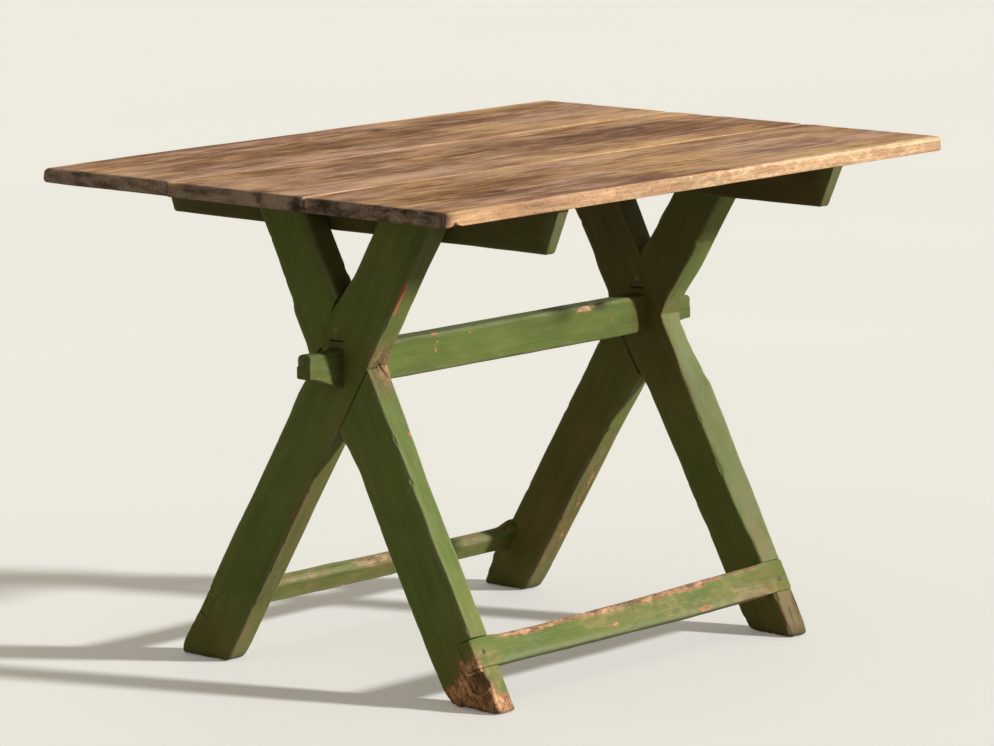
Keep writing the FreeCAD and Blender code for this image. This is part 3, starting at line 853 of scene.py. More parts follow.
class Leg:
    """Middle line, width and own axes of one leg, read from its solid."""

    def __init__(self, side, foot):
        self.side = side
        self.foot = foot
        self.node = f"{side}_{foot}_leg"
        low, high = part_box(self.node)
        corners = solid_corners(self.node)
        at_floor = corners[corners[:, 2] < low.z + 0.01 * MM][:, 1]
        at_top = corners[corners[:, 2] > high.z - 0.01 * MM][:, 1]
        floor_y = (at_floor.min() + at_floor.max()) / 2
        top_y = (at_top.min() + at_top.max()) / 2
        height = high.z - low.z
        self.axis = Vector((0, top_y - floor_y, height)).normalized()
        width = (at_floor.max() - at_floor.min()) * self.axis.z
        self.low_x = low.x
        self.high_x = high.x
        self.middle = Vector(((low.x + high.x) / 2, (floor_y + top_y) / 2, (low.z + high.z) / 2))
        self.place = axes(self.axis, X_AXIS, self.middle)
        self.across = self.place.to_3x3() @ Vector((0, 1, 0))
        self.half = np.array((height / self.axis.z, width, high.x - low.x)) / 2
        self.slant = self.across.z / self.axis.z

    def offset(self, points):
        """Signed distance of table points across this leg's middle line."""
        return (points - np.array(self.middle)) @ np.array(self.across)

    def crossing(self, other):
        """Place along this leg where the other leg's middle line crosses it."""
        gap = other.middle - self.middle
        return gap.dot(other.across) / self.axis.dot(other.across)

    def stray(self, points):
        """How far the hand-cut front or back edge stands out beside points in own axes."""
        knots = LEG_EDGES[self.node]
        near = 0.5 - 0.5 * points[:, 2] / self.half[2]
        front = near * profile(points[:, 0], knots["near_front"])
        front += (1 - near) * profile(points[:, 0], knots["far_front"])
        back = profile(points[:, 0], knots["back"]) + 1.3 * MM
        return np.where(points[:, 1] > 0, front, back)

    def spread(self, points):
        """Shift across the leg that brings straight edges to the hand-cut ones."""
        return points[:, 1] / self.half[1] * self.stray(points)

    def straight(self, points):
        """Points in own axes with the straying of the edges taken out again."""
        level = points.copy()
        level[:, 0] += points[:, 1] * self.slant
        drawn = points.copy()
        drawn[:, 1] /= 1 + self.stray(level) / self.half[1]
        return drawn

    def band(self, other, room_front, room_back, face):
        """Side outline of this leg round the crossing, for cutting the lap in the other leg."""
        reach = np.linspace(-125, 125, 41) * MM + self.crossing(other)
        outline = []
        for sign, places, room in ((1, reach, room_front), (-1, reach[::-1], room_back)):
            edge = np.stack((places, np.full(len(places), sign * self.half[1]),
                             np.full(len(places), face * self.half[2])), axis=1)
            edge[:, 1] += self.spread(edge) + sign * room
            outline += [tuple(point) for point in to_table(edge, self.place)]
        return outline


LEG_SEEDS = {"left_front_leg": 11, "left_back_leg": 12, "right_front_leg": 13, "right_back_leg": 14}
# How far each leg's edges stray from the straight: (place along the leg, offset) in millimetres.
LEG_EDGES = {
    "left_front_leg": {
        "near_front": [
            (-430, 4), (-385, 6), (-354, 5), (-348, 0.5), (-308, 0.5), (-298, 5.5), (-200, 6), (-140, 4),
            (-100, 6), (-70, 5), (-40, 7.5), (20, 6), (50, 4), (100, 4.5), (190, 3), (240, 0), (430, 0)],
        "far_front": [(-430, 0), (-60, 0), (10, 1.5), (50, 4), (100, 4.5), (190, 3), (240, 0), (430, 0)],
        "back": [
            (-430, -9), (-400, -5), (-380, -1), (-340, 0.8), (-140, 1.5), (-80, 1), (-50, -0.5), (-20, 2.5),
            (5, 6.5), (40, 7.5), (110, 6), (165, 8.5), (195, 8), (228, 0.8), (300, -0.5), (340, -1), (430, 0)]},
    "left_back_leg": {
        "near_front": [
            (-430, 1), (-380, 2), (-340, 1.5), (-310, 0.3), (-280, 2.3), (-200, 2.8), (-80, 2.6), (-40, 4.8),
            (0, 6), (40, 5), (60, 4.2), (150, 4), (180, 2), (210, 3.5), (280, 4.5), (320, 3), (430, 2)],
        "far_front": [(-430, 0), (-20, 0), (40, 4), (60, 4.2), (150, 4), (190, 2), (240, 0), (430, 0)],
        "back": [
            (-430, -1), (-400, 2), (-370, 2), (-360, 0.6), (-316, 0.6), (-300, 1.2), (-200, 1.4), (-100, 0.5),
            (20, 0.4), (60, 2.5), (110, 1), (146, -5), (166, 5), (200, 9), (225, 7), (250, 4), (285, 0.6),
            (430, 2)]},
    "right_front_leg": {
        "near_front": [
            (-430, -2), (-360, 0), (-352, 0), (-306, 0), (-280, -3), (-255, -3), (-225, -8), (-180, -11),
            (-120, -12), (-40, -13), (20, -13), (60, -10), (100, -10.5), (150, -6), (200, -4.5), (430, -2)],
        "far_front": [
            (-430, 0), (-40, 0.5), (0, 2), (22, -4), (60, -10), (100, -10.5), (150, -6), (200, -4.5),
            (430, -2)],
        "back": [
            (-430, -10), (-380, -7), (-280, -5.5), (-200, -3.4), (-140, -2.5), (-100, -0.5), (-60, 0),
            (-20, 2.5), (10, 6), (40, 8), (80, 10), (120, 11), (150, 8), (185, 9), (220, 5.8), (260, 7),
            (300, 8.5), (430, 10)]},
    "right_back_leg": {
        "near_front": [
            (-430, -3), (-360, 0), (-220, -1), (-120, 1.5), (-80, 3), (-40, 8), (0, 9), (40, 6), (110, -4),
            (160, -8), (200, -5.5), (230, -4), (254, -4), (262, -8), (272, -4.5), (340, -4), (430, -6)],
        "far_front": [(-430, 0), (-80, 0), (40, 4), (110, -4), (160, -7), (220, -2), (430, -2)],
        "back": [
            (-430, -8), (-380, -5), (-362, -1), (-314, -1), (-300, -3.5), (-200, -3.5), (-140, -2.5),
            (-20, -1.8), (20, -1), (100, 0), (200, 2), (240, 1.5), (270, -0.5), (300, 0), (330, -2),
            (430, -2)]}}
# Worn patches in a leg's own axes, in millimetres from its middle: along, across, through.
LEG_BARE = {
    "left_front_leg": [
        ((-412, -6, -21), (52, 75, 16), 1.4), ((-426, 42, 2), (30, 16, 24), 1.25),
        ((-374, 24, -21), (36, 30, 8), 1.2), ((-352, 15, -21), (24, 10, 6), 0.95),
        ((96, 42, 8), (10, 8, 10), 0.45)],
    "left_back_leg": [((172, 42, 4), (12, 8, 8), 0.5), ((-425, 30, -16), (12, 20, 12), 0.6)],
    "right_front_leg": [((-428, 42, 4), (12, 12, 24), 0.35), ((-425, 0, -21), (10, 60, 12), 0.5)],
    "right_back_leg": [
        ((-425, 0, -10), (12, 60, 30), 0.5), ((-220, 42, 4), (180, 7, 14), 0.42),
        ((148, 42, -4), (12, 8, 16), 0.15)]}
LEG_UNDERCOAT = {
    "left_front_leg": [
        ((-6, 42, 15), (5, 8, 5), 0.8), ((-338, 14, -21), (18, 6, 6), 0.6), ((-395, 42, -16), (22, 8, 8), 0.7)],
    "left_back_leg": [((284, 43, -19), (34, 6, 6), 1.0), ((258, 42, -15), (16, 5, 5), 0.8)],
    "right_front_leg": [((-330, 42, 12), (24, 6, 8), 0.45), ((-395, 40, -20), (30, 4, 4), 0.5)],
    "right_back_leg": [((-60, 42, 10), (30, 6, 10), 0.45)]}
# Darker patches, in the same way: dirt at the feet and in the crotches, painted shade and dirt round the left
# stretcher tenon, and darkening high up under the boards.
LEG_GRIME = {
    "left_front_leg": [
        ((-376, 30, -15.5), (18, 26, 3.2), 1.4), ((200, 42, 4), (110, 14, 26), 0.85),
        ((330, 42, 0), (130, 12, 40), 0.75)],
    "left_back_leg": [
        ((-395, -14, -21), (40, 40, 10), 0.35), ((-180, 42, 0), (260, 10, 30), 0.22),
        ((-428, 10, 0), (14, 60, 60), 0.7), ((120, -8, -21), (34, 20, 8), 0.75),
        ((160, 42, 4), (26, 8, 18), 0.5), ((350, 42, 0), (90, 14, 30), 0.55)],
    "right_front_leg": [
        ((-395, -10, -21), (36, 50, 10), 0.12), ((-432, 42, 0), (18, 20, 40), 1.3),
        ((-395, 42, 13), (40, 10, 6), 0.5), ((280, 0, -21), (170, 60, 12), 0.5),
        ((60, 0, -21), (90, 60, 10), 0.3), ((330, 42, 0), (130, 12, 40), 0.8)],
    "right_back_leg": [
        ((-250, 0, -21), (160, 60, 12), 0.1), ((-420, 0, 0), (26, 60, 60), 0.6),
        ((250, 0, -21), (210, 60, 12), 0.38)]}
# Brown stains in the paint, in the same way.
LEG_STAIN = {
    "left_front_leg": [
        ((-345, 10, -21), (60, 50, 10), 0.35), ((-350, 42, 0), (40, 10, 40), 0.2),
        ((82, 42, 0), (36, 10, 30), 0.7)],
    "left_back_leg": [
        ((-380, 0, -21), (60, 60, 10), 0.3), ((-180, 42, 0), (260, 12, 40), 0.5),
        ((178, 42, 0), (34, 12, 40), 0.40), ((140, -10, -21), (60, 50, 8), 0.3)],
    "right_front_leg": [
        ((-395, 42, 0), (50, 12, 40), 0.95), ((-395, 0, -21), (60, 60, 10), 0.7),
        ((120, 0, -21), (150, 60, 10), 0.65), ((280, 0, -21), (120, 60, 10), 0.75),
        ((-150, 0, -21), (160, 60, 10), 0.2), ((-290, 42, 0), (90, 10, 40), 0.25),
        ((92, 42, 0), (30, 10, 40), 0.06)],
    "right_back_leg": [
        ((-200, 0, -21), (260, 60, 10), 0.6), ((170, 0, -21), (190, 60, 10), 0.62),
        ((160, 42, 0), (30, 12, 40), 0.25), ((-250, 42, 0), (200, 12, 40), 0.5)]}
# Paint worn thin, in the same way.
LEG_THIN = {
    "left_front_leg": [((92, 42, 2), (27, 10, 32), 0.85), ((-395, 42, 0), (60, 10, 40), 0.25)],
    "left_back_leg": [((168, 42, 4), (22, 10, 30), 0.65)],
    "right_front_leg": [((-415, 42, 0), (40, 10, 40), 0.28), ((-425, 10, -21), (14, 50, 12), 0.3)],
    "right_back_leg": [((-220, 42, 4), (200, 9, 30), 0.25), ((152, 42, 0), (16, 9, 30), 0.12)]}
LEG_SPLITS = {
    "left_front_leg": [
        ((-352, 10, -21), (-385, 12, -21), 1.2), ((-384, 13, -21), (-396, -16, -21), 1.0),
        ((-392, 14, -21), (-428, 22, -21), 1.3), ((-352, 46.3, -12), (-420, 45.5, -4), 1.2),
        ((103, 46.5, 4), (76, 46.2, 14), 2.7)],
    "right_front_leg": [((-358, 42, 15), (-428, 42, 13), 1.7), ((-380, 41.5, -4), (-424, 41, -8), 1.2)],
    "left_back_leg": [
        ((155, 45.8, 6), (174, 44.8, -9), 2.2), ((-321, -45, -21), (-324, -22, -21), 1.0),
        ((-374, -45, -21), (-371, -25, -21), 0.9), ((-300, 0, -21), (-292, 14, -21), 0.5)],
    "right_back_leg": [((140.9, 37.4, -5), (142.6, 37.5, 19), 1.4)]}
# How deep the grain is torn at the feet, in millimetres.
LEG_TORN = {"left_front_leg": 2.6, "left_back_leg": 0.8, "right_front_leg": 1.4, "right_back_leg": 0.8}
# How far a rail's lower and upper edges rise at its right end, in millimetres.
RAIL_WIDER = {"front": (3.0, 7.5), "back": (0.0, 5.0)}
# Knot that has fallen out beside the left front toe: along and across.
KNOT_HOLE = [(-360, 15), (-361, 30), (-364, 56), (-380, 56), (-390, 41), (-391, 22), (-383, 10), (-370, 9)]


def leg_block(leg, other):
    """Hand-planed leg in its own axes, before its joints are cut."""
    look = bpy.context.scene.table_base
    shape = SmoothNoise(LEG_SEEDS[leg.node])
    points, quads = block(leg.half, (3.2, 8), (4, 5), (4, 5))
    sheared = points.copy()
    sheared[:, 0] -= points[:, 1] * leg.slant
    away = np.abs(other.offset(to_table(sheared, leg.place))) - other.half[1]
    beside = fade(6, 20, away)
    along = points[:, 0]
    radius = look.arris_round * (1 + 0.35 * shape(points, (60, 300, 300)))
    far = fade(0, 15, points[:, 2]) * fade(0, 20, points[:, 1])
    radius = radius + far * 1.8 * MM
    radius = 0.8 * MM + (radius - 0.8 * MM) * beside
    toe = smooth_step(-leg.half[0] + 30 * MM, -leg.half[0] + 6 * MM, along)
    radius = radius * (1 - toe) + toe * (9 + 3 * shape(points, 22)) * MM
    head = smooth_step(leg.half[0] - 8 * MM, leg.half[0], along)
    radius = radius * (1 - head) + head * 0.6 * MM
    shaped, outward = rounded(points, leg.half, radius)

    # Planing marks and dents fade out in the joint.
    free = 0.12 + 0.88 * beside
    marks = plane_marks(shape, points, (0.55, 150, 45), (0.3, 36, 16), 3.1)
    shaped += outward * ((marks - 0.25) * look.hewing * free)[:, None]
    nick = nicks(shape, points, outward, 7.7, 16, 0.45, 0.8)
    shaped -= outward * (nick * 1.3 * MM * beside)[:, None]
    ragged = fade(75, 15, along + leg.half[0])
    depth = LEG_TORN[leg.node] * MM
    torn = shape(points + 1.7, (26, 8, 8)) + 0.6 * shape(points + 5.3, 6)
    shaped -= outward * (ragged * np.maximum(torn + 0.1, 0) * depth)[:, None]
    shaped[:, 1] += leg.spread(shaped)
    shaped[:, 0] -= shaped[:, 1] * leg.slant
    return timber(leg.node + "_wood", shaped, quads, leg.place)


def leg_joints(leg, other):
    """Tools for the half lap, the mortise with its wedge slot and the rail notch."""
    middle_x = (leg.low_x + leg.high_x) / 2
    outer_is_low = leg.side == "left"
    # The back leg runs through on the trestle's outer half, so the front leg is cut there.
    cut_low = outer_is_low == (leg.foot == "front")
    far = 20 * MM
    seam = 0.05 * MM
    if cut_low:
        spans, face = (leg.low_x - far, middle_x + seam), -1
    else:
        spans, face = (middle_x - seam, leg.high_x + far), 1
    open_joint = (2.6 * MM, 1.3 * MM) if cut_low and leg.side == "left" else (1.2 * MM, 1.1 * MM)
    tools = [prism("lap", other.band(leg, *open_joint, face), 0, *spans)]
    wedge_low, wedge_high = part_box(f"{leg.side}_tenon_wedge")
    tenon_low, _ = tenon_box(leg.side)
    room = 0.5 * MM
    mortise = [(leg.low_x - far, 0, tenon_low.z - room), (leg.high_x + far, 0, tenon_low.z - room),
               (leg.high_x + far, 0, wedge_high.z + room), (leg.low_x - far, 0, wedge_high.z + room)]
    snug = 0.12 * MM
    tools.append(prism("mortise", mortise, 1, wedge_low.y - snug, wedge_high.y + snug))
    section = rail_section(leg.foot)
    middle = sum(section, Vector()) / 4
    push = ((section[0] + section[1]) / 2 - middle).normalized()
    step = (section[1] - section[0]).normalized()
    wider = RAIL_WIDER[leg.foot] if leg.side == "right" else (0, 0)
    under = step * (wider[0] - 0.7) * MM
    over = step * (wider[1] + 0.7) * MM
    notch = [section[0] + push * far + under, section[1] + push * far + over,
             section[2] - push * 0.4 * MM + over, section[3] - push * 0.4 * MM + under]
    tools.append(prism("notch", notch, 0, leg.low_x - far, leg.high_x + far))
    if leg.node == "left_front_leg":
        hole = np.array([(along, across, 0) for along, across in KNOT_HOLE]) * MM
        tools.append(prism("knot", [tuple(p) for p in to_table(hole, leg.place)], 0,
                           leg.low_x - far, leg.low_x + 5 * MM))
    return tools


def tenon_box(side):
    """Lowest and highest corner of the stretcher's tenon where it leaves a trestle."""
    corners = solid_corners("center_stretcher")
    wedge_low, wedge_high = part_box(f"{side}_tenon_wedge")
    inside = corners[(corners[:, 0] > wedge_low.x - 0.1 * MM) & (corners[:, 0] < wedge_high.x + 0.1 * MM)]
    near = inside[(np.abs(inside[:, 1] - wedge_low.y) < 1 * MM) | (np.abs(inside[:, 1] - wedge_high.y) < 1 * MM)]
    return Vector(near.min(0)), Vector(near.max(0))


def rail_section(foot):
    """Corners of a rail's section, the two on the outer face first."""
    corners = solid_corners(f"{foot}_foot_rail")
    low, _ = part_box(f"{foot}_foot_rail")
    end = corners[corners[:, 0] < low.x + 0.01 * MM]
    sign = -1 if foot == "front" else 1
    top = end[end[:, 2].argmax()]
    bottom = end[end[:, 2].argmin()]
    outermost = end[(sign * end[:, 1]).argmax()]
    innermost = end[(sign * end[:, 1]).argmin()]
    # The outer face leans with the leg: its top is the highest corner and its foot the outermost.
    return [Vector(outermost), Vector(top), Vector(innermost), Vector(bottom)]


class TABLE_OT_legs(bpy.types.Operator):
    """Make the four hand-planed legs with their laps, mortises and notches"""
    bl_idname = "table.legs"
    bl_label = "Legs"
    BROWN = {"left_front_leg": 0.03, "left_back_leg": 0.06, "right_front_leg": 0.10, "right_back_leg": 0.12}
    PITS = {"left_front_leg": 0.55, "left_back_leg": 0.8}
    # How chalked each leg's front narrow face is: partly worn paint, partly painted light on the face that the
    # key light falls on.
    NARROW = {"right_front_leg": 0.95}
    # Bare wood at the left front foot is more orange, and lighter as painted light for what the bright floor
    # throws up on it.
    RAW = {"left_front_leg": (1.18, 1.04, 0.95)}

    def execute(self, context):
        for side in SIDES:
            pair = {foot: Leg(side, foot) for foot in FEET}
            for foot in FEET:
                leg = pair[foot]
                other = pair["back" if foot == "front" else "front"]
                piece = leg_block(leg, other)
                carve(piece, leg_joints(leg, other))
                self.finish(piece, leg, other)
        return {"FINISHED"}

    def finish(self, piece, leg, other):
        """Wear masks, paint and place in the frame."""
        local = leg.straight(local_points(piece, leg.place))
        table = world_points(piece)
        beside = fade(0, 14, np.abs(other.offset(table)) - other.half[1])
        edge = np.maximum(leg.half[1] - np.abs(local[:, 1]), leg.half[2] - np.abs(local[:, 2]))
        arris = fade(10, 3, edge) * beside
        # The front narrow faces, which the key light falls on, are chalked paler, and more so low down: partly
        # worn paint, partly painted light.
        narrow = nearing(leg.half[1], 6, 1, local[:, 1])
        low = smooth_step(-0.24, -0.38, local[:, 0])
        floor = 0.75 * np.exp(-table[:, 2] / (12 * MM))
        store(piece, arris=np.maximum(arris, narrow * (self.NARROW.get(leg.node, 0.42) + 0.35 * low)),
              bare=spots(local, LEG_BARE[leg.node]), undercoat=spots(local, LEG_UNDERCOAT[leg.node]),
              stain=spots(local, LEG_STAIN[leg.node]), thin=spots(local, LEG_THIN[leg.node]),
              grime=np.maximum(floor, spots(local, LEG_GRIME[leg.node])))
        painted(piece, leg.place, leg.node, LEG_SEEDS[leg.node] * 1.37, brown=self.BROWN[leg.node],
                pits=self.PITS.get(leg.node, 0.4), raw=self.RAW.get(leg.node, (1.0, 1.0, 1.0)),
                splits=LEG_SPLITS.get(leg.node, ()))


# Stretcher and wedges

class TABLE_OT_stretcher(bpy.types.Operator):
    """Make the stretcher with its rounded tenon ends, and the wedge over each tenon"""
    bl_idname = "table.stretcher"
    bl_label = "Stretcher and Wedges"
    BARE = [
        ((-412, -20, 10), (12, 7, 10), 0.6), ((172, 23, 15), (24, 5, 6), 0.72),
        ((-395, -22, 13), (16, 4, 4), 0.5)]
    UNDERCOAT = [
        ((-160, 27, 14), (9, 3, 5), 0.8), ((-158, 4, 16), (3, 7, 4), 0.75), ((-155, 14, 16), (4, 4, 4), 0.8),
        ((-85, 19, 16), (4, 3, 4), 0.8), ((230, 0, 16), (5, 5, 4), 0.55)]
    # Brown stains; on the right tenon the stain is painted shade, and next to the right trestle it darkens and
    # browns the end.
    STAIN = [
        ((404, 0, 0), (40, 60, 40), 0.4), ((300, 0, 0), (24, 60, 40), 0.8), ((-400, 0, 0), (40, 60, 40), 0.2)]
    SEED = 21
    WEDGE_SEED = 31
    # How far each tenon's tip drops above and hangs below, in millimetres.
    DROP = {"left": 0, "right": 12}
    HANG = {"left": 1, "right": 4}
    # Dirt at the burnt dent; painted shade along the underside, and round the left tenon where the leg's shadow
    # falls, partly dirt there; darker next to the right trestle.
    GRIME = [
        ((202, 26, 13), (14, 8, 10), 1.3), ((190, 29, 4), (40, 4, 14), 0.8), ((0, -29, 0), (400, 6, 30), 0.45),
        ((286, 0, 0), (14, 40, 30), 0.5), ((-352, 0, 0), (12, 60, 30), 0.9),
        ((-395, 0, 13), (40, 60, 10), 0.16)]

    def execute(self, context):
        self.stretcher()
        for number, side in enumerate(SIDES):
            self.wedge(side, self.WEDGE_SEED + number)
        return {"FINISHED"}

    def stretcher(self):
        """Stretcher with a tenon at each end."""
        look = bpy.context.scene.table_base
        shape = SmoothNoise(self.SEED)
        low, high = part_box("center_stretcher")
        middle = (low + high) / 2
        half = np.array((high.x - low.x, high.z - low.z, high.y - low.y)) / 2
        # Own axes: along +X, across up, through to the front.
        place = axes(X_AXIS, Vector((0, -1, 0)), middle)
        inner = {side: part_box(f"{side}_tenon_wedge") for side in SIDES}
        shoulders = {"left": inner["left"][1].x - middle.x, "right": inner["right"][0].x - middle.x}
        body = np.linspace(shoulders["left"], shoulders["right"], 190)
        tip = np.array((0.0, 0.4, 1.0, 2, 3.5, 6, 9, 13)) * MM
        left = np.concatenate((tip - half[0], np.linspace(17 * MM - half[0], shoulders["left"], 26)))
        right = np.concatenate((np.linspace(shoulders["right"], half[0] - 17 * MM, 26), half[0] - tip[::-1]))
        along = np.concatenate((left, body + np.linspace(0.02, -0.02, len(body)) * MM, right))
        points, quads = lattice(along, stations(half[1], 3.5, 5), stations(half[2], 3, 5))
        in_tenon = (points[:, 0] <= shoulders["left"]) | (points[:, 0] >= shoulders["right"])
        is_left = points[:, 0] < 0
        halves = np.tile(half, (len(points), 1))
        lift = np.zeros(len(points))
        for side, mask in (("left", is_left & in_tenon), ("right", ~is_left & in_tenon)):
            tenon_low, tenon_high = tenon_box(side)
            halves[mask, 1] = (tenon_high.z - tenon_low.z) / 2
            halves[mask, 2] = (tenon_high.y - tenon_low.y) / 2
            lift[mask] = (tenon_high.z + tenon_low.z) / 2 - middle.z
        box_points = points / half * halves
        arris = look.arris_round * (1.05 + 0.3 * shape(points, (50, 300, 300)))
        outside = np.abs(points[:, 0]) - np.where(is_left, -shoulders["left"], shoulders["right"])
        stick_out = fade(43, 58, outside)
        # The tips are rounded most at the upper back edge and least below.
        tip_round = stick_out * np.where(points[:, 1] > 0, np.where(points[:, 2] < 0, 12, 7), 3.2)
        radius = np.where(in_tenon, 0.8 * MM + tip_round * MM, arris)
        # Ends of tenons are squarer than their long edges.
        squash = np.array((3.0, 1.0, 1.0))
        shaped, outward = rounded(box_points * squash, halves * squash, radius)
        shaped /= squash
        marks = plane_marks(shape, points, (0.6, 140, 40), (0.3, 30, 14), 2.2)
        free = np.where(in_tenon, stick_out, 1.0)
        shaped += outward * ((marks - 0.2) * look.hewing * free)[:, None]
        nick = nicks(shape, points, outward, 9.1, 18, 0.4, 0.8)
        shaped -= outward * (nick * 1.6 * MM * free)[:, None]
        # A burnt dent on the upper arris near the right trestle.
        dent = np.exp(-(((points[:, 0] - 202 * MM) / (12 * MM)) ** 2)) * (points[:, 1] > half[1] * 0.5)
        shaped[:, 1] -= dent * 3.0 * MM * fade(-6, 8, points[:, 2])
        # The tenons' undersides rise towards their tips.
        for side, mask in (("left", is_left), ("right", ~is_left)):
            share = smooth_step(0, 1, (outside - 42 * MM) / (68 * MM)) * mask * in_tenon
            under = np.clip(0.5 - shaped[:, 1] / (2 * halves[:, 1]), 0, 1)
            shaped[:, 1] += share * (under * self.rise(side) - (1 - under) * self.DROP[side] * MM)
        shaped[:, 1] += lift
        piece = timber("center_stretcher_wood", shaped, quads, place)
        inset = halves - np.abs(box_points)
        arris = fade(10, 3, np.maximum(inset[:, 1], inset[:, 2])) * 0.85
        # The upper face is chalked paler: partly dust, partly painted light and sheen.
        top = nearing(half[1], 4, 1, points[:, 1]) * ~in_tenon
        local = local_points(piece, place)
        store(piece, arris=np.maximum(np.maximum(arris, top), 0.55 * stick_out * in_tenon),
              bare=spots(local, self.BARE), undercoat=spots(local, self.UNDERCOAT),
              grime=spots(local, self.GRIME), stain=spots(local, self.STAIN))
        material = paint_material("green_paint_stretcher", 3.3, wear=0.5, chalk=0.95, shade=0.82)
        dress(piece, place, material, "green_painted_pine", "center_stretcher")

    def rise(self, side):
        """How much higher a tenon's underside is at its tip than at the trestle."""
        corners = solid_corners("center_stretcher")
        tip = corners[corners[:, 0].argmin() if side == "left" else corners[:, 0].argmax()][0]
        at_tip = corners[np.abs(corners[:, 0] - tip) < 0.1 * MM]
        tenon_low, _ = tenon_box(side)
        return max(at_tip[:, 2].min() - tenon_low.z - self.HANG[side] * MM, 0)

    def wedge(self, side, seed):
        """Thin wedge, a hair behind the trestle's outer face, with an open slit over it."""
        node_name = f"{side}_tenon_wedge"
        low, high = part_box(node_name)
        sunk = 0.15 * MM
        low.x += sunk
        high.x -= sunk
        slit = 1.7 * MM
        half = np.array((high.x - low.x, high.y - low.y, high.z - slit - low.z)) / 2
        half -= 0.03 * MM
        shape = SmoothNoise(seed)
        points, quads = block(half, (3, 2), (3, 2), (2, 1.5))
        shaped, outward = rounded(points, half, np.full(len(points), 0.3 * MM))
        shaped -= outward * (np.abs(shape(points, 8)) * 0.12 * MM)[:, None]
        middle = Vector(((low.x + high.x) / 2, (low.y + high.y) / 2, (low.z + high.z - slit) / 2))
        place = Matrix.Translation(middle)
        piece = timber(node_name + "_wood", shaped, quads, place)
        store(piece, arris=0.1, bare=0.1, grime=0.35)
        painted(piece, place, node_name, seed * 0.9, brown=0.1 if side == "left" else 0.3)


# Foot rails

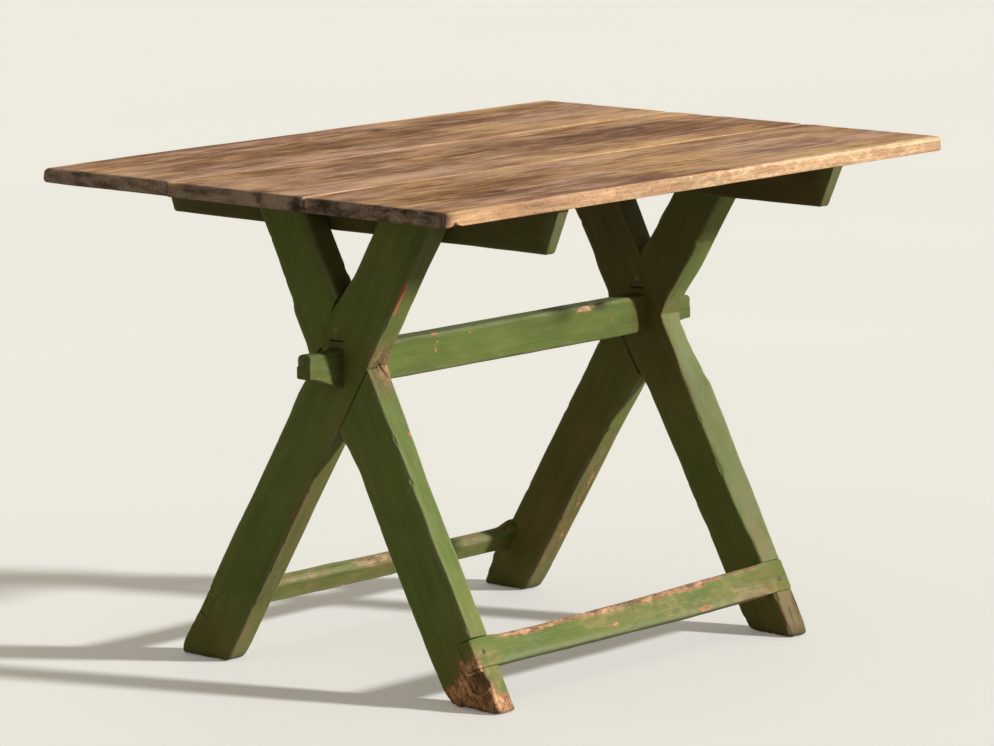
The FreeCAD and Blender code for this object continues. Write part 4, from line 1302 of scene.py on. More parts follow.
class TABLE_OT_rails(bpy.types.Operator):
    """Make the two foot rails, worn down where feet have rested"""
    bl_idname = "table.rails"
    bl_label = "Foot Rails"
    SEEDS = {"front": 41, "back": 42}
    THIN = {"front": 0.21, "back": 0.16}
    # Depth of the worn hollow and width of the rubbed strip, in millimetres.
    WORN = {"front": 2.5, "back": 3.0}
    STRIP = {"front": 13, "back": 6}
    STAIN = {
        "front": [
            ((320, 0, 8), (110, 60, 30), 0.5), ((0, 0, 12), (600, 60, 12), 0.16),
            ((-348, 10, 0), (20, 30, 30), 0.4)],
        "back": [
            ((0, 0, 0), (500, 60, 30), 0.38), ((-300, 0, 0), (90, 60, 30), 0.5),
            ((-220, 22, 4), (110, 10, 20), 0.85), ((60, 22, 4), (330, 6, 20), 0.6)]}
    # How bare, thin and red the rubbed strip along the upper edge is.
    RUBBED = {"front": (0.44, 0.58, 0.12), "back": (0.14, 0.40, 0.1)}
    # How far the strip reaches over the top: the smaller, the farther.
    OVER_TOP = {"front": 1.0, "back": 0.32}
    BARE = {
        "front": [
            ((-215, 21, 12), (100, 12, 9), 0.92), ((-85, 21, 12), (70, 10, 9), 0.74),
            ((135, 22, 12), (50, 10, 9), 0.60), ((150, -18, 12), (24, 7, 8), 0.50),
            ((-54, -7, 12), (24, 6, 6), 0.48), ((-348, -14, 4), (9, 13, 20), 1.1)],
        "back": [((-300, 21, 0), (60, 5, 16), 0.6)]}
    UNDERCOAT = {
        "front": [
            ((-60, 20, 8), (60, 6, 8), 0.6), ((140, -15, 12), (20, 8, 6), 0.55),
            ((-220, 18, 8), (50, 5, 6), 0.6), ((-346, -8, 0), (8, 9, 16), 0.8)],
        "back": []}

    def execute(self, context):
        for foot in FEET:
            self.rail(foot)
        return {"FINISHED"}

    def rail(self, foot):
        """One rail, let flush into the legs on its side."""
        look = bpy.context.scene.table_base
        node_name = f"{foot}_foot_rail"
        outer_low, outer_top, inner_top, inner_low = rail_section(foot)
        low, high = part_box(node_name)
        up = outer_top - outer_low
        out = outer_top - inner_top
        middle = (outer_low + outer_top + inner_top + inner_low) / 4
        middle.x = (low.x + high.x) / 2
        # Own axes: along X, across up the leg, through to the outside of the table.
        place = axes(X_AXIS if foot == "front" else -X_AXIS, out, middle)
        half = np.array((high.x - low.x, up.length, out.length)) / 2
        shape = SmoothNoise(self.SEEDS[foot])
        points, quads = block(half, (3.6, 5), (3, 5), (3, 4))
        along, across, through = points.T
        leg_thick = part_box("left_front_leg")[1].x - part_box("left_front_leg")[0].x
        clear = fade(0, 30, half[0] - leg_thick - np.abs(along))
        # The worn side is the one that faces the sitter: the outer one in front, the inner one behind.
        toward = 1 if foot == "front" else -1
        upper = fade(-6, 12, across) * fade(-8, 6, toward * through)
        wander = shape(points, (50, 300, 300))
        radius = 1.2 * MM + clear * look.arris_round * (0.7 + 0.3 * wander)
        radius = radius + clear * upper * 5.5 * MM * (1 + 0.4 * wander)
        flush = nearing(half[0], 14, 4, np.abs(along)) * (through > 0)
        radius = radius + flush * 2.6 * MM
        shaped, outward = rounded(points, half, np.minimum(radius, half[2] - 0.5 * MM))
        marks = plane_marks(shape, points, (0.6, 120, 30), (0.35, 26, 12), 4.4)
        shaped += outward * ((marks - 0.2) * look.hewing * (0.15 + 0.85 * clear))[:, None]
        nick = nicks(shape, points, outward, 8.3, 20, 0.35, 0.75)
        shaped -= outward * (nick * 1.5 * MM * clear)[:, None]
        # Feet have worn the upper edge into a long hollow.
        span = np.clip(1 - (along / (half[0] - leg_thick)) ** 2, 0, 1)
        worn = self.WORN[foot] * MM * span * (1 + 0.4 * shape(points + 6.1, (90, 400, 400)))
        shaped[:, 1] -= worn * smooth_step(-half[1], half[1], across) ** 2
        under, over = (rise * MM for rise in RAIL_WIDER[foot])
        share = np.clip(0.5 + 0.5 * across / half[1], 0, 1)
        if foot == "front":
            shaped[:, 1] += share * over * smooth_step(-0.26, 0.29, along)
            shaped[:, 1] += (1 - share) * under * smooth_step(0.08, 0.30, along)
        else:
            # Worn deeper to the right, and at its full height again where the leg shields it.
            right = -along
            shielded = smooth_step(half[0] - leg_thick - 26 * MM, half[0] - leg_thick - 2 * MM, right)
            dip = 4.5 * MM * fade(20, 120, right) * (1 - shielded)
            shaped[:, 1] += share * (over * shielded - dip)
        piece = timber(node_name + "_wood", shaped, quads, place)
        local = local_points(piece, place)
        inset = half - np.abs(points)
        to_worn = np.hypot(half[1] - across, self.OVER_TOP[foot] * (half[2] - toward * through))
        rubbed = clear * smooth_step(self.STRIP[foot] * MM, 0.45 * self.STRIP[foot] * MM, to_worn)
        if foot == "back":
            # Towards its right end the strip is brown with dirt, not fresh.
            rubbed = rubbed * (1 - 0.85 * fade(90, 170, -along))
        bare, thin, red = self.RUBBED[foot]
        # Painted shade: a darker band along the lower edge, where the underside turns from the light.
        lower_edge = ((0, -half[1] / MM, -8 * toward), (600, 5, 12), 0.65)
        store(piece, arris=clear * fade(10, 3, np.maximum(inset[:, 1], inset[:, 2])) + 0.3,
              bare=np.maximum(spots(local, self.BARE[foot]), bare * rubbed), thin=thin * rubbed,
              undercoat=np.maximum(spots(local, self.UNDERCOAT[foot]), red * rubbed),
              stain=spots(local, self.STAIN[foot]), grime=spots(local, [lower_edge]))
        painted(piece, place, node_name, self.SEEDS[foot] * 0.83, wear=0.75, thin=self.THIN[foot])


# Battens

class TABLE_OT_battens(bpy.types.Operator):
    """Make the two battens under the boards, with undercut ends and a dovetail"""
    bl_idname = "table.battens"
    bl_label = "Battens"
    SEED = 51
    STAIN = {"left": 0.35, "right": 0.7}

    def execute(self, context):
        for number, side in enumerate(SIDES):
            self.batten(side, self.SEED + number)
        return {"FINISHED"}

    def batten(self, side, seed):
        """One batten with its dovetail."""
        look = bpy.context.scene.table_base
        node_name = f"{side}_batten"
        low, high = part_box(node_name)
        board_low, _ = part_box("middle_board")
        shape = SmoothNoise(seed)
        half = np.array((high.y - low.y, board_low.z - low.z, high.x - low.x)) / 2
        middle = Vector(((low.x + high.x) / 2, (low.y + high.y) / 2, (low.z + board_low.z) / 2))
        # Own axes: along the batten to the back, across up, through along the table.
        place = axes(Vector((0, 1, 0)), X_AXIS, middle)
        corners = solid_corners(node_name)
        undercut = corners[corners[:, 2] < low.z + 0.01 * MM][:, 1].min() - low.y
        points, quads = block(half, (5, 4), (4, 4), (3.5, 4))
        # One at the underside and nought against the boards.
        down = 0.5 - 0.5 * points[:, 1] / half[1]
        radius = 0.4 * MM + down * look.arris_round * (0.9 + 0.3 * shape(points, (60, 300, 300)))
        shaped, outward = rounded(points, half, radius)
        marks = plane_marks(shape, points, (0.6, 150, 40), (0.3, 30, 14), 4.4)
        shaped += outward * ((marks - 0.3) * look.hewing * down)[:, None]
        lower = np.clip(0.5 - 0.5 * shaped[:, 1] / half[1], 0, 1)
        shaped[:, 0] *= 1 - lower * undercut / half[0]
        if side == "left":
            # Its back end was cut longer and steeper.
            far_end = nearing(half[0], 90, 30, points[:, 0])
            shaped[:, 0] += far_end * (9.5 + 5 * lower) * MM
        tail_points, tail_quads = self.dovetail(node_name, place)
        quads = np.concatenate((quads, tail_quads + len(shaped)))
        piece = timber(node_name + "_wood", np.concatenate((shaped, tail_points)), quads, place)
        local = local_points(piece, place)
        inset = half - np.abs(local)
        ends = nearing(half[0], 40, 14, np.abs(local[:, 0]))
        edge = fade(9, 2, np.maximum(inset[:, 1], inset[:, 2]))
        # The battens are darkened all over, less at their ends.
        store(piece, arris=np.maximum(0.7 * edge, ends), grime=0.62 - 0.15 * ends,
              stain=self.STAIN[side] * (1 - 0.75 * ends))
        painted(piece, place, node_name, seed * 0.77)

    @staticmethod
    def dovetail(node_name, place):
        """Flared tongue along the batten, from its solid's own corners."""
        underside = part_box("middle_board")[0].z
        neck_low, neck_high, low, high = dovetail_section(node_name, underside)
        points = []
        for y in (low[1], high[1]):
            points += [(neck_low, y, underside), (neck_high, y, underside),
                       (high[0], y, high[2]), (low[0], y, high[2])]
        quads = [(0, 1, 2, 3), (7, 6, 5, 4), (0, 4, 5, 1), (1, 5, 6, 2), (2, 6, 7, 3), (3, 7, 4, 0)]
        return to_table(np.array(points), place.inverted()), np.array(quads)


def dovetail_section(batten, underside):
    """Both sides of a dovetail's neck at the boards' underside, and the tail's lowest and highest corner."""
    corners = solid_corners(batten)
    tail = corners[corners[:, 2] > underside + 1 * MM]
    low, high = tail.min(0), tail.max(0)
    neck = corners[np.abs(corners[:, 2] - underside) < 0.05 * MM][:, 0]
    neck = neck[(neck > low[0] + 1 * MM) & (neck < high[0] - 1 * MM)]
    return neck.min(), neck.max(), low, high


# Boards

BOARD_SEEDS = {"front_board": 61, "middle_board": 62, "back_board": 63}
BOARD_PITH = {
    "front_board": (0.1, -0.03, -0.045), "middle_board": (-0.3, 0.03, -0.075), "back_board": (0.2, 0.06, -0.05)}
BOARD_SPLITS = {
    "front_board": [
        ((-545, -2.5, 6), (-470, 2, 11), 1.3), ((-545, 60, 2), (-500, 61, 11), 0.9),
        ((545, -20, 4), (470, -16, 11), 1.0), ((-150, 30, 11), (-40, 34, 11), 0.8),
        ((150, -70, 11), (230, -66, 11), 0.8)],
    "middle_board": [
        ((-545, 20, 6), (-420, 26, 11), 1.2), ((-545, -96, 2), (-490, -92, 11), 1.4),
        ((545, 50, 4), (430, 44, 11), 0.9), ((-60, -30, 11), (60, -26, 11), 0.8)],
    "back_board": [((-540, -70, 4), (-430, -66, 11), 1.0), ((545, 30, 4), (480, 32, 11), 0.8)]}
# Knots: middle and radius in millimetres from the board's middle.
BOARD_KNOTS = {
    "front_board": [((-330, -35, 11), 5)], "middle_board": [((-545, -50, 4), 6), ((-545, -120, 2), 7)],
    "back_board": [((80, 60, 11), 6)]}
# Lighter and darker parts of the upper faces: middle, reach and shift of tone. They are partly the boards' own
# tone and partly painted light, which keeps the front board lighter as if nearer the lamp.
BOARD_LIGHT = {
    "front_board": [
        ((0, 108, 11), (260, 28, 30), 0.30), ((10, 10, 11), (170, 90, 30), 0.30),
        ((330, -85, 11), (260, 46, 30), 0.40), ((300, 20, 11), (330, 130, 30), 0.16),
        ((-470, -60, 11), (80, 60, 30), 0.14)],
    "middle_board": [
        ((-220, -98, 11), (330, 30, 30), 0.34), ((440, 112, 11), (140, 30, 30), 0.36),
        ((120, 122, 11), (280, 15, 30), 0.24), ((-360, 120, 11), (210, 18, 30), 0.24),
        ((-480, 40, 11), (90, 60, 30), 0.18)],
    "back_board": [
        ((430, -108, 11), (170, 32, 30), 0.36), ((330, -60, 11), (200, 50, 30), 0.20),
        ((-360, -118, 11), (210, 16, 30), 0.24), ((-510, 0, 11), (50, 100, 30), 0.14)]}
BOARD_DARK = {
    "front_board": [((-350, 15, 11), (150, 56, 30), 0.26), ((250, 60, 11), (150, 30, 30), 0.08)],
    "middle_board": [
        ((150, 22, 11), (330, 62, 30), 0.24), ((-270, -52, 11), (50, 18, 30), 0.28),
        ((-250, 35, 11), (180, 30, 30), 0.12)],
    "back_board": [((-140, 25, 11), (320, 66, 30), 0.20), ((-300, 118, 11), (230, 9, 30), 0.28)]}
# Where each seam shows as a pale line: start, full, fading and end along the table.
SEAM_GLOW = {"back": (0.05, 0.42, 0.60, 0.70), "front": (-0.34, -0.12, 0.40, 0.56)}


class TABLE_OT_boards(bpy.types.Operator):
    """Make the three worn boards of the top"""
    bl_idname = "table.boards"
    bl_label = "Top Boards"
    # Side without a neighbour: the front, none or the back.
    FREE_SIDE = {"front_board": -1, "middle_board": 0, "back_board": 1}
    END_TONE = {"front_board": 0.36, "middle_board": 0.66, "back_board": 0.50}
    # Stained parts of the left ends: middle, reach and depth of tone.
    END_DARK = {
        "front_board": [((-544, 90, 0), (20, 22, 30), 0.2), ((-544, -90, 0), (20, 50, 30), 0.1)],
        "middle_board": [((-544, 78, 4), (20, 42, 12), 0.42), ((-544, -120, 0), (20, 16, 20), 0.3)],
        "back_board": [((-544, 20, 0), (20, 60, 30), 0.1)]}
    DIRTY = {
        "front_board": [((-544, -132, 2), (14, 8, 16), 1.3)],
        "back_board": [((-541, -131, 0), (9, 7, 18), 1.3)]}
    # Corner and stretch of edge on the middle board that are rubbed down to honey-coloured wood.
    WORN_CORNER = {"middle_board": [((-544, 128, 11), (22, 30, 8), 1.1)]}
    HONEY = {"middle_board": [((-360, -114, 11), (95, 20, 30), 0.62)]}
    # Chips out of the front board's lower edge, as outlines of X and Z.
    CHIPS = [
        [(-534, 714), (-531, 719.5), (-527, 720.5), (-523, 724.5), (-519, 723.5), (-516, 721),
         (-509, 719.5), (-504, 714)],
        [(-548, 714), (-548, 722), (-541, 720), (-537, 714)]]

    def execute(self, context):
        for name in BOARDS:
            self.board(name)
        return {"FINISHED"}

    def board(self, name):
        """One board with worn edges and its grooves."""
        look = bpy.context.scene.table_top
        shape = SmoothNoise(BOARD_SEEDS[name])
        low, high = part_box(name)
        half = np.array(high - low) / 2
        free = self.FREE_SIDE[name]
        points, quads = block(half, (6, 6), (5, 6), (3, 5))
        left = points[:, 0] + half[0]
        side = points[:, 1] / half[1]
        seam = np.ones(len(points))
        if free:
            seam = smooth_step(0.4, -0.4, free * side)
        ends = nearing(half[0], 14, 5, np.abs(points[:, 0]))
        seam = seam * (1 - ends)
        wander = 1 + 0.45 * shape(points, (70, 60, 500))
        # The seam edges that face the front are worn rounder, and catch the light.
        seam_radius = look.seam_round * (1 + smooth_step(0.2, -0.2, side))
        radius = (seam_radius * seam + look.edge_round * (1 - seam)) * wander
        radius *= 0.45 + 0.55 * smooth_step(-0.4, 0.3, points[:, 2] / half[2])
        if name == "back_board":
            # Hands have worn the left corner round.
            radius += 4.5 * MM * np.exp(-(left / (35 * MM)) ** 2) * smooth_step(0.5, 0.95, side)
        shaped, outward = rounded(points, half, np.minimum(radius, half[2] - 0.6 * MM))
        # Worn edges stand back unevenly, least at the corners, and the upper face has shallow hollows.
        rim = np.maximum(np.abs(outward[:, 0]), np.abs(outward[:, 1]) * (1 - seam))
        bite = 0.5 + 0.5 * shape(points + 3.7, (40, 40, 300))
        bite += 1.5 * np.maximum(shape(points + 8.9, (13, 19, 9)) - 0.2, 0)
        corner = fade(45, 5, half[0] - np.abs(points[:, 0])) * smooth_step(0.7, 0.95, free * side)
        shaped -= outward * (rim * bite * (1 - 0.9 * corner) * 0.95 * MM)[:, None]
        upper = smooth_step(0.2, 0.9, outward[:, 2])
        hollow = 0.5 + 0.5 * shape(points + 5.1, (210, 50, 400))
        hollow = 0.7 * hollow + 0.3 * (0.5 + 0.5 * shape(points + 2.9, (60, 16, 400)))
        shaped[:, 2] -= upper * hollow * look.hollow
        if name != "back_board":
            shaped[:, 2] -= upper * 0.7 * MM * nearing(half[1], 28, 4, points[:, 1])
        lower = smooth_step(0.2, 0.9, -outward[:, 2])
        shaped[:, 2] += lower * (0.5 + 0.5 * shape(points + 1.3, (90, 30, 400))) * 0.25 * MM
        if free:
            shaped = self.round_corners(shaped, half, free)
            self.open_end(shaped, name, left, side)
        place = Matrix.Translation((low + high) / 2)
        piece = timber(name + "_wood", shaped, quads, place)
        tools = self.grooves(name, low, high)
        if name == "front_board":
            tools += [prism("chip", [(x * MM, 0, z * MM) for x, z in chip], 1, low.y - 5 * MM, low.y + 7 * MM)
                      for chip in self.CHIPS]
        carve(piece, tools)
        self.finish(piece, place, name, half, free)

    def open_end(self, points, name, left, side):
        """Open the seams a little at the left end, and let the back board's corner run out."""
        near = fade(75, 0, left)
        if name == "back_board":
            points[:, 1] += 2.2 * MM * near * smooth_step(-0.6, -1, side)
            points[:, 0] -= 4.6 * MM * fade(160, 0, left) * smooth_step(-0.7, 0.9, side)
        else:
            points[:, 1] -= 1.4 * MM * near * smooth_step(0.6, 1, side)

    def round_corners(self, points, half, free):
        """Round the two plan corners on a board's free side."""
        reach = 6 * MM
        corner = np.array((half[0] - reach, half[1] - reach))
        off = np.stack((np.abs(points[:, 0]) - corner[0], free * points[:, 1] - corner[1]), axis=1)
        inside = (off > 0).all(1)
        longest = off[inside].max(1)
        length = np.linalg.norm(off[inside], axis=1)
        drawn = off[inside] * (longest / length)[:, None]
        points = points.copy()
        points[inside, 0] = np.sign(points[inside, 0]) * (corner[0] + drawn[:, 0])
        points[inside, 1] = free * (corner[1] + drawn[:, 1])
        return points

    def grooves(self, name, low, high):
        """Dovetail grooves for both battens."""
        tools = []
        room, under = 0.3 * MM, 4 * MM
        for side in SIDES:
            neck_low, neck_high, tail_low, tail_high = dovetail_section(f"{side}_batten", low.z)
            slope = (neck_low - tail_low[0]) * under / (tail_high[2] - low.z)
            top = tail_high[2] + room
            section = [(neck_low - room + slope, 0, low.z - under),
                       (neck_high + room - slope, 0, low.z - under),
                       (tail_high[0] + room, 0, top), (tail_low[0] - room, 0, top)]
            start = tail_low[1] - room if name == "front_board" else low.y - 20 * MM
            tools.append(prism("groove", section, 1, start, high.y + 20 * MM))
        return tools

    def seam_glow(self, local, name, half):
        """Pale lines along the seams, each with its own run along the table."""
        shape = SmoothNoise(BOARD_SEEDS[name] + 200)
        glow = np.zeros(len(local))
        for seam, side in (("front", -1), ("back", 1)):
            if self.FREE_SIDE[name] == side:
                continue
            # The front board's back edge lies on the front seam, the back board's front edge on the back one.
            run = SEAM_GLOW["front" if name == "front_board" else "back" if name == "back_board" else seam]
            width = (6 + 4 * shape(local, (45, 900, 900))) * MM
            line = smooth_step(1.5 * width, 0.5 * width, half[1] - side * local[:, 1])
            there = smooth_step(run[0], run[1], local[:, 0]) * smooth_step(run[3], run[2], local[:, 0])
            glow = np.maximum(glow, line * (0.42 + 0.58 * there))
        return glow

    def finish(self, piece, place, name, half, free):
        """Masks for tone, rubbed edges, end grain and dirt, with painted light and a painted highlight along the
        free edge.
        """
        local = local_points(piece, place)
        upper = nearing(half[2], 5, 1.5, local[:, 2])
        free_edge = half[1] - free * local[:, 1] if free else np.full(len(local), 1.0)
        at_end = fade(6, 1.5, half[0] - np.abs(local[:, 0]))
        glow = self.seam_glow(local, name, half) * upper * (1 - at_end)
        tone = 0.53 + spots(local, BOARD_LIGHT[name]) - spots(local, BOARD_DARK[name]) + 0.22 * glow
        tone = tone - 0.1 * (1 - upper)
        end_tone = self.END_TONE[name] - spots(local, self.END_DARK[name])
        # Towards the right the rubbing grows and the strip by the free edge widens and brightens: partly wear,
        # partly painted light that is stronger to the right. The upper arris of the free edge is rubbed paler as
        # a painted highlight.
        right = smooth_step(-0.1, 0.35, local[:, 0])
        worn = smooth_step(-0.55, 0.12, local[:, 0])
        on_edge = fade(5, 1.5, free_edge) * (1 - at_end)
        arris = nearing(half[2], 9, 4, local[:, 2])
        strip = smooth_step(0, 1, (8 * MM + 16 * MM * right - free_edge) / (10 * MM)) * upper * (1 - at_end)
        worn_corner = spots(local, self.WORN_CORNER.get(name, ()))
        honey = spots(local, self.HONEY.get(name, ())) * upper
        rubbed = np.maximum(on_edge * (0.46 + 0.38 * worn + (0.04 + 0.12 * right) * arris),
                            strip * (0.5 + 0.4 * right))
        under = smooth_step(-half[2] + 2 * MM, -half[2] + 0.5 * MM, local[:, 2]) * (1 - on_edge)
        dirty = spots(local, self.DIRTY.get(name, ()))
        store(piece, tone=tone + at_end * (end_tone - tone), end=at_end * (1 - worn_corner),
              rubbed=np.maximum.reduce((rubbed, 0.66 * glow, worn_corner, honey)),
              grime=np.maximum(0.15 * at_end + 0.3 * under, dirty))
        material = pine_material(f"weathered_pine_{name}", BOARD_SEEDS[name] * 0.41, BOARD_PITH[name],
                                 BOARD_SPLITS[name], BOARD_KNOTS[name])
        dress(piece, place, material, "weathered_pine", name)


# Pegs and nails

class TABLE_OT_fasteners(bpy.types.Operator):
    """Make the wooden pegs and the iron rail nails"""
    bl_idname = "table.fasteners"
    bl_label = "Pegs and Nails"
    PEG_SEED = 71
    NAIL_SEED = 81
    PEG_SIDES = 20
    NAIL_SIDES = 12
    # How far a peg's ends stand out of the paint.
    PROUD = 0.35 * MM
    # A peg's outline: shares of its half length and of its radius.
    PEG_OUTLINE = [
        (-1.0, 0.45), (-0.997, 0.8), (-0.985, 0.96), (-0.97, 1.0), (0.97, 1.0), (0.985, 0.96),
        (0.997, 0.8), (1.0, 0.45)]

    def execute(self, context):
        for number, side in enumerate(SIDES):
            for name in (f"{side}_leg_pegs", f"{side}_lap_peg"):
                self.pegs(name, self.PEG_SEED + number)
        for number, foot in enumerate(FEET):
            self.nails(f"{foot}_rail_nails", self.NAIL_SEED + number)
        return {"FINISHED"}

    def pegs(self, name, seed):
        """Whittled pegs along X, their ends a hair proud of the paint."""
        points, faces, count = [], [], 0
        draw = np.random.default_rng(seed)
        sides = self.PEG_SIDES
        angle = np.arange(sides) * 2 * math.pi / sides
        for low, high in islands(name):
            radius = (high.y - low.y) / 2
            half_length = (high.x - low.x) / 2 + self.PROUD
            whittle = 1 - 0.05 * draw.random(sides)
            rings = []
            for along, out in self.PEG_OUTLINE:
                rings.append(np.stack((np.full(sides, along * half_length),
                                       np.cos(angle) * radius * out * whittle,
                                       np.sin(angle) * radius * out * whittle), axis=1))
            tips = np.array([(-half_length, 0, 0), (half_length, 0, 0)])
            points.append(np.concatenate(rings + [tips]) + np.array((low + high) / 2))
            for ring in range(count, count + (len(rings) - 1) * sides, sides):
                for step in range(sides):
                    after = (step + 1) % sides
                    faces.append((ring + step, ring + after, ring + sides + after, ring + sides + step))
            last = count + len(rings) * sides
            for step in range(sides):
                after = (step + 1) % sides
                faces.append((last, count + after, count + step))
                faces.append((last + 1, last - sides + step, last - sides + after))
            count += len(points[-1])
        piece = mesh_object(name + "_wood", np.concatenate(points).tolist(), faces)
        store(piece, arris=0.9 if "lap" in name else 0.4, grime=0.1)
        painted(piece, Matrix.Identity(4), name, seed * 0.61, chalk=1.3)

    def nails(self, name, seed):
        """Hammered nail heads on tapering shanks."""
        corners = solid_corners(name)
        foot = name.split("_")[0]
        section = rail_section(foot)
        out = (section[1] - section[2]).normalized()
        draw = np.random.default_rng(seed)
        points, faces = [], []
        for low, high in islands(name):
            middle_x = (low.x + high.x) / 2
            here = corners[np.abs(corners[:, 0] - middle_x) < 12 * MM]
            reach = here @ np.array(out)
            top = here[reach > reach.max() - 0.05 * MM].mean(0)
            length = reach.max() - reach.min()
            place = np.array(axes(out, X_AXIS, Vector(top)))
            sides = self.NAIL_SIDES
            outline = [(0.5, 1.2), (0.42, 2.6), (0.1, 4.0), (-0.6, 4.3), (-1.8, 3.6), (-2.2, 2.1),
                       (-length / MM * 0.8, 1.7), (-length / MM + 0.5, 0.25)]
            start = len(points)
            hammered = 1 + 0.12 * (draw.random(sides) - 0.5)
            for depth, width in outline:
                for step in range(sides):
                    angle = 2 * math.pi * step / sides
                    spread = width * MM * (hammered[step] if depth > -2 else 1)
                    spot = np.array((depth * MM, math.cos(angle) * spread, math.sin(angle) * spread))
                    points.append(place[:3, :3] @ spot + place[:3, 3])
            for ring in range(len(outline) - 1):
                for step in range(sides):
                    after = (step + 1) % sides
                    a, b = start + ring * sides, start + (ring + 1) * sides
                    faces.append((a + step, b + step, b + after, a + after))
            faces.append(tuple(start + step for step in range(sides)))
            last = start + (len(outline) - 1) * sides
            faces.append(tuple(last + step for step in reversed(range(sides))))
        piece = mesh_object(name + "_iron", [tuple(p) for p in points], faces)
        if "nail_iron" not in bpy.data.materials:
            iron_material()
        dress(piece, Matrix.Identity(4), bpy.data.materials["nail_iron"], "dark_iron", name)


def islands(name):
    """Boxes of the separate solids in a node, from its loose parts."""
    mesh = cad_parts[name].data
    parent = list(range(len(mesh.vertices)))

    def find(item):
        """First vertex of the part that a vertex belongs to."""
        while parent[item] != item:
            parent[item] = parent[parent[item]]
            item = parent[item]
        return item

    keys = {}
    for vertex in mesh.vertices:
        key = tuple(round(c, 6) for c in vertex.co)
        if key in keys:
            parent[find(vertex.index)] = find(keys[key])
        keys[key] = vertex.index
    for edge in mesh.edges:
        parent[find(edge.vertices[0])] = find(edge.vertices[1])
    found = {}
    for vertex in mesh.vertices:
        found.setdefault(find(vertex.index), []).append(vertex.co)
    boxes = [(Vector(np.min(part, axis=0)), Vector(np.max(part, axis=0))) for part in found.values()]
    return sorted(boxes, key=lambda box: (round(box[0].x, 4), round(box[0].y, 4)))


# Stage

def seen_rays(tree):
    """One for what the camera sees, straight or by reflection, and nought for what lights the table."""
    path = node(tree, "LightPath").outputs
    shown = larger(tree, path["Is Camera Ray"], path["Is Glossy Ray"])
    return larger(tree, shown, path["Is Transmission Ray"])


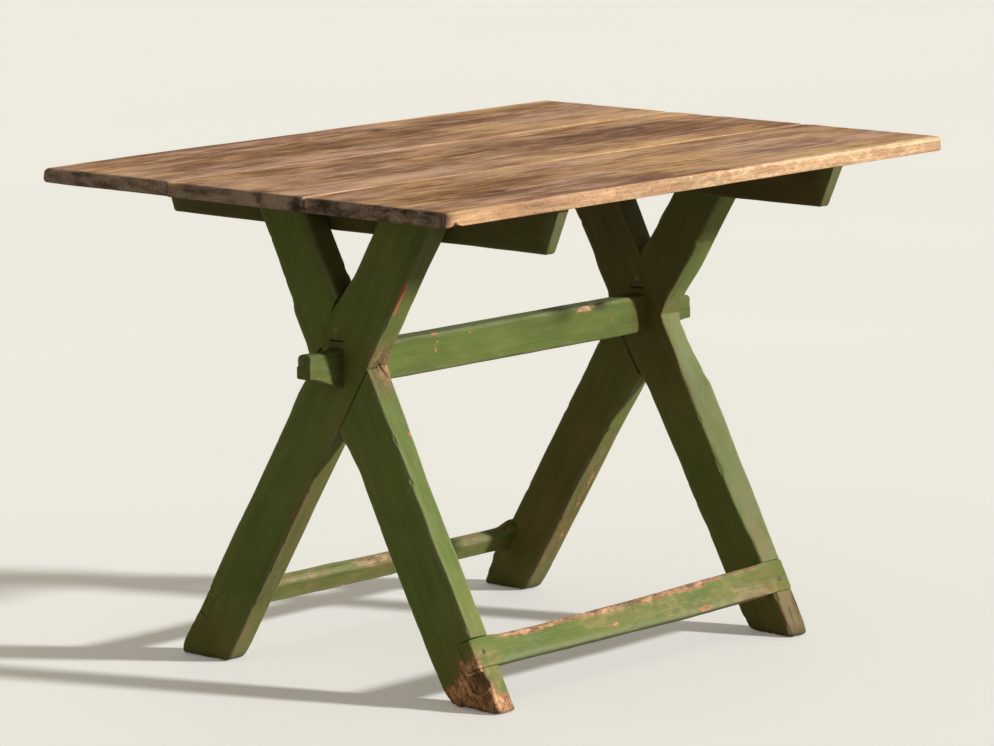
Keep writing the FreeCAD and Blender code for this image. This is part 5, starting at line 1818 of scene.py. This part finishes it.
class TABLE_OT_stage(bpy.types.Operator):
    """Set up the pale floor, the soft studio light and the camera"""
    bl_idname = "table.stage"
    bl_label = "Stage"
    KEY_FROM = Vector((1.00, -2.00, 1.0))
    CAMERA_AT = Vector((-5.5186, -5.0474, 1.6574))
    CAMERA_TO = Vector((0.0003, 0.0096, 0.4101))
    ROLL = -0.6
    KEY_SPREAD = 5
    KEY_COLOUR = (0.99, 1.0, 0.995)
    FLOOR_REACH = 30.0
    FLOOR_GLOW = (1.0, 0.94, 0.98)
    GLOW_STRENGTH = 0.13
    BOUNCE_TINT = (1.0, 0.98, 0.80)
    FILL_COLOUR = (1.0, 0.94, 0.64)
    BACKDROP = (0.80, 0.79, 0.77)
    LENS = 186.3
    SENSOR_WIDTH = 36
    VIEW_END = 100

    def execute(self, context):
        scene = context.scene
        look = scene.table_stage
        scene.view_settings.view_transform = "Standard"
        self.floor(look)
        self.world(scene, look)
        sun = bpy.data.lights.new("key_light", "SUN")
        sun.energy = look.key
        sun.angle = math.radians(self.KEY_SPREAD)
        sun.color = self.KEY_COLOUR
        key = bpy.data.objects.new("key_light", sun)
        key.rotation_euler = self.KEY_FROM.to_track_quat("Z", "Y").to_euler()
        scene.collection.objects.link(key)
        lens = bpy.data.cameras.new("camera")
        lens.lens = self.LENS
        lens.sensor_width = self.SENSOR_WIDTH
        lens.clip_end = self.VIEW_END
        camera = bpy.data.objects.new("camera", lens)
        aim = (self.CAMERA_AT - self.CAMERA_TO).to_track_quat("Z", "Y")
        camera.matrix_world = (Matrix.Translation(self.CAMERA_AT) @ aim.to_matrix().to_4x4()
                               @ Matrix.Rotation(math.radians(self.ROLL), 4, "Z"))
        scene.collection.objects.link(camera)
        scene.camera = camera
        return {"FINISHED"}

    def floor(self, look):
        """Pale floor, shown a little lighter than it is lit."""
        reach = self.FLOOR_REACH
        corners = [(-reach, -reach, 0), (reach, -reach, 0), (reach, reach, 0), (-reach, reach, 0)]
        floor = mesh_object("floor", corners, [(0, 1, 2, 3)])
        material, tree, shader, _ = new_material("pale_floor")
        cloud = noise(tree, node(tree, "TexCoord").outputs["Object"], 0.9, 2.0, 0.5)
        colour = tinted(tree, look.floor, ramp(tree, cloud, 0.3, 0.7, 0.985, 1.0))
        # The floor throws back less light than it shows, which keeps the shaded faces dark.
        bounce = node(tree, "LightPath").outputs["Is Diffuse Ray"]
        thrown = tuple(look.bounce * a * b for a, b in zip(look.floor, self.BOUNCE_TINT))
        colour = mix(tree, bounce, colour, thrown)
        tree.links.new(colour, shader.inputs["Base Color"])
        shader.inputs["Roughness"].default_value = 0.75
        shader.inputs["Emission Color"].default_value = rgba(self.FLOOR_GLOW)
        glow = times(tree, seen_rays(tree), self.GLOW_STRENGTH)
        tree.links.new(glow, shader.inputs["Emission Strength"])
        floor.data.materials.append(material)

    def world(self, scene, look):
        """Even light from all round, and a plain backdrop."""
        world = bpy.data.worlds.new("studio")
        world.use_nodes = True
        scene.world = world
        tree = world.node_tree
        tree.nodes.clear()
        soft = node(tree, "Background", {"Color": rgba(self.FILL_COLOUR), "Strength": look.fill})
        seen = node(tree, "Background", {"Color": rgba(self.BACKDROP), "Strength": 1.0})
        both = node(tree, "MixShader", {0: seen_rays(tree), 1: soft.outputs[0], 2: seen.outputs[0]})
        node(tree, "OutputWorld", {"Surface": both.outputs[0]})


class VIEW3D_PT_sawbuck_table(bpy.types.Panel):
    """Pieces of the table and their settings"""
    bl_label = "Sawbuck Table"
    bl_space_type = "VIEW_3D"
    bl_region_type = "UI"
    bl_category = "Table"

    def draw(self, context):
        for settings in (context.scene.table_top, context.scene.table_base, context.scene.table_stage):
            box = self.layout.box()
            for name in settings.bl_rna.properties.keys():
                if name not in ("rna_type", "name"):
                    box.prop(settings, name)
        for step in STEPS:
            self.layout.operator(step.bl_idname)


STEPS = (TABLE_OT_boards, TABLE_OT_battens, TABLE_OT_legs, TABLE_OT_stretcher, TABLE_OT_rails,
         TABLE_OT_fasteners, TABLE_OT_stage)
SETTINGS = {"table_top": TopSettings, "table_base": BaseSettings, "table_stage": StageSettings}
CLASSES = (*SETTINGS.values(), *STEPS, VIEW3D_PT_sawbuck_table)


def register():
    """Make the settings, operators and panel known."""
    for item in CLASSES:
        bpy.utils.register_class(item)
    for name, kind in SETTINGS.items():
        setattr(bpy.types.Scene, name, bpy.props.PointerProperty(type=kind))


def unregister():
    """Take the settings, operators and panel away."""
    for name in SETTINGS:
        delattr(bpy.types.Scene, name)
    for item in reversed(CLASSES):
        bpy.utils.unregister_class(item)


def main():
    """Build the table and its stage."""
    register()
    for step in STEPS:
        space, name = step.bl_idname.split(".")
        getattr(getattr(bpy.ops, space), name)()


if __name__ == "__main__":
    main()
